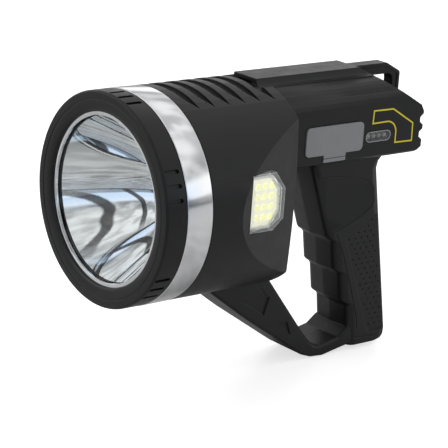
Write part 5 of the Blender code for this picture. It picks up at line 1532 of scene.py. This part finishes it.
@dataclass
class Studio:
    """Floor, lights, surroundings and camera."""

    azimuth: float = radians(50.2215)
    elevation: float = radians(16.763)
    roll: float = radians(4.1045)
    eye: Point3 = (918.25 * MM, -671.45 * MM, 333.36 * MM)
    focal: float = 167.76
    sensor: float = 36.0
    far: float = 50.0
    aim: Point3 = (0.0, 0.0, 0.1)
    floor_size: float = 12.0
    floor_greys: tuple[Colour, Colour] = ((0.78, 0.78, 0.78), (0.80, 0.80, 0.80))
    floor_cloud: float = 0.4
    floor_gloss: float = 0.34
    floor_lift: float = 0.67
    streak_colour: Colour = (0.08, 0.08, 0.09)
    streak_size: float = 0.10
    streak_stretch: Point3 = (1.0, 4.0, 1.0)
    streak_range: Point2 = (0.42, 0.60)
    streak_least: float = 0.25
    streak_ahead: Ramp = Ramp(-0.12, -0.32, 0.65)
    room_least: float = 0.10
    low_wall: Ramp = Ramp(0.015, 0.025, 0.3)
    high_wall: Ramp = Ramp(0.09, 0.12, 0.75)
    dark_band: Point2 = (0.33, 0.40)
    dark_depth: float = 0.82
    dark_streaks: Ramp = Ramp(0.42, 0.58, 0.4)
    ceiling: Ramp = Ramp(0.52, 0.62, 0.25)
    front_range: Point2 = (0.15, 0.55)
    front_depth: float = 0.92
    fold_range: Point2 = (0.08, 0.2)
    room_light: float = 0.55
    cool_range: Point2 = (0.2, 0.5)
    cool: Colour = (0.66, 0.80, 1.0)

    def axes(self) -> tuple[Vector, Vector, Vector]:
        """Work out the camera's axes.

        Returns:
            Its right, up and backward directions.
        """
        flat = cos(self.elevation)
        back = Vector((sin(self.azimuth) * flat, -cos(self.azimuth) * flat, sin(self.elevation)))
        level = (-back).cross(Vector((0.0, 0.0, 1.0))).normalized()
        upright = level.cross(-back)
        right = level * cos(self.roll) + upright * sin(self.roll)
        return right, upright * cos(self.roll) - level * sin(self.roll), back

    def camera(self) -> None:
        """Set up the camera where the photographer stood."""
        lens = bpy.data.cameras.new("camera")
        lens.lens = self.focal
        lens.sensor_width = self.sensor
        lens.sensor_fit = "HORIZONTAL"
        lens.clip_end = self.far
        camera = bpy.data.objects.new("camera", lens)
        right, up, back = self.axes()
        turn = Matrix((right, up, back)).transposed()
        camera.matrix_world = Matrix.Translation(Vector(self.eye) + DATUM) @ turn.to_4x4()
        bpy.context.scene.collection.objects.link(camera)
        bpy.context.scene.camera = camera

    def floor(self) -> None:
        """Lay the pale floor, which shows white to the camera but keeps the lamp's shadow."""
        form = bmesh.new()
        bmesh.ops.create_grid(form, x_segments=1, y_segments=1, size=self.floor_size / 2.0)
        mesh = bpy.data.meshes.new("floor")
        form.to_mesh(mesh)
        form.free()
        floor = bpy.data.objects.new("floor", mesh)
        bpy.context.scene.collection.objects.link(floor)
        made = bpy.data.materials.new("pale_floor")
        graph = Graph(made)
        path = graph.node("ShaderNodeLightPath")
        seen = Value(graph, path.outputs["Is Camera Ray"])
        mirrored = Value(graph, path.outputs["Is Glossy Ray"])
        streaks = graph.noise(self.streak_size, detail=3.0, stretch=self.streak_stretch)
        streaks = streaks.between(*self.streak_range)
        strength = self.streak_least + self.streak_ahead.over(graph.along(graph.place(), Axis.Y))
        pale = graph.blend(graph.noise(self.floor_cloud).between(*SOFT_NOISE), *self.floor_greys)
        paper = graph.node("ShaderNodeBsdfPrincipled", {
            "Base Color": graph.blend(mirrored * streaks * strength, pale, self.streak_colour),
            "Roughness": self.floor_gloss})
        lift = graph.node("ShaderNodeEmission", {"Color": WHITE, "Strength": seen * self.floor_lift})
        both = graph.node("ShaderNodeAddShader", {0: paper.outputs[0], 1: lift.outputs[0]})
        graph.finish(both.outputs[0])
        mesh.materials.append(made)

    def lamp(self, name: str, place: Point3, size: float, power: float, mirrored: bool) -> None:
        """Hang one soft light.

        Args:
            name: its name.
            place: where it hangs.
            size: the side of its square.
            power: its power in watts.
            mirrored: whether glossy surfaces mirror it.
        """
        data = bpy.data.lights.new(name, "AREA")
        data.shape = "SQUARE"
        data.size = size
        data.energy = power
        holder = bpy.data.objects.new(name, data)
        aim = Vector(self.aim) - Vector(place)
        holder.matrix_world = Matrix.Translation(place) @ aim.to_track_quat("-Z", "Y").to_matrix().to_4x4()
        holder.visible_glossy = mirrored
        bpy.context.scene.collection.objects.link(holder)

    def surroundings(self) -> None:
        """Paint the room: white behind the lamp and above it, dark on the photographer's side."""
        world = bpy.data.worlds.new("studio")
        bpy.context.scene.world = world
        graph = Graph(world)
        sky = graph.node("ShaderNodeTexCoord").outputs["Generated"]
        back = self.axes()[2]
        facing = graph.dot(sky, tuple(back))
        height = graph.along(sky, Axis.Z)
        noise = graph.node("ShaderNodeTexNoise", {"Vector": sky, "Scale": 5.0, "Detail": 4.0})
        streaks = Value(graph, noise.outputs["Fac"])
        wave = graph.node("ShaderNodeTexWave", {
            "Vector": sky, "Scale": 0.9, "Distortion": 3.0, "Detail": 1.0, "Detail Scale": 1.2,
        }, wave_type="BANDS", bands_direction="DIAGONAL")
        folds = Value(graph, wave.outputs["Fac"])
        front = facing.between(*self.front_range)
        room = self.room_least + self.low_wall.over(height) + self.high_wall.over(height)
        room = room - height.between(*self.dark_band) * (self.dark_depth - self.dark_streaks.over(streaks))
        room = room + self.ceiling.over(height)
        room = room * (1.0 - front * (1.0 - folds.between(*self.fold_range)) * self.front_depth)
        path = graph.node("ShaderNodeLightPath")
        camera = Value(graph, path.outputs["Is Camera Ray"])
        glossy = Value(graph, path.outputs["Is Glossy Ray"])
        strength = camera + (1.0 - camera) * (glossy * room + (1.0 - glossy) * self.room_light)
        low = 1.0 - height.between(*self.cool_range)
        cool = graph.blend(front * glossy * low, WHITE, self.cool)
        shader = graph.node("ShaderNodeBackground", {"Color": cool, "Strength": strength})
        graph.finish(shader.outputs[0], "ShaderNodeOutputWorld")

    def build(self) -> None:
        """Set the whole studio up."""
        self.camera()
        self.floor()
        self.surroundings()
        self.lamp("overhead", place=(-0.25, 0.15, 1.3), size=1.5, power=4.4, mirrored=False)
        self.lamp("left_panel", place=(-0.9, -1.1, 0.5), size=0.6, power=1.2, mirrored=True)
        bpy.context.scene.view_settings.view_transform = "Standard"


def main() -> None:
    """Build the lamp, class by class, and the studio around it."""
    logging.basicConfig(level=logging.INFO, format="%(name)s: %(message)s")
    bench = Bench()
    palette = Palette()
    for part in (Head(bench, palette), Housing(bench, palette), SideLamp(bench, palette),
                 Ports(bench, palette), Gauge(bench, palette), Power(bench, palette)):
        LOG.info("building %s", type(part).__name__)
        part.build()
    Studio().build()


if __name__ == "__main__":
    main()
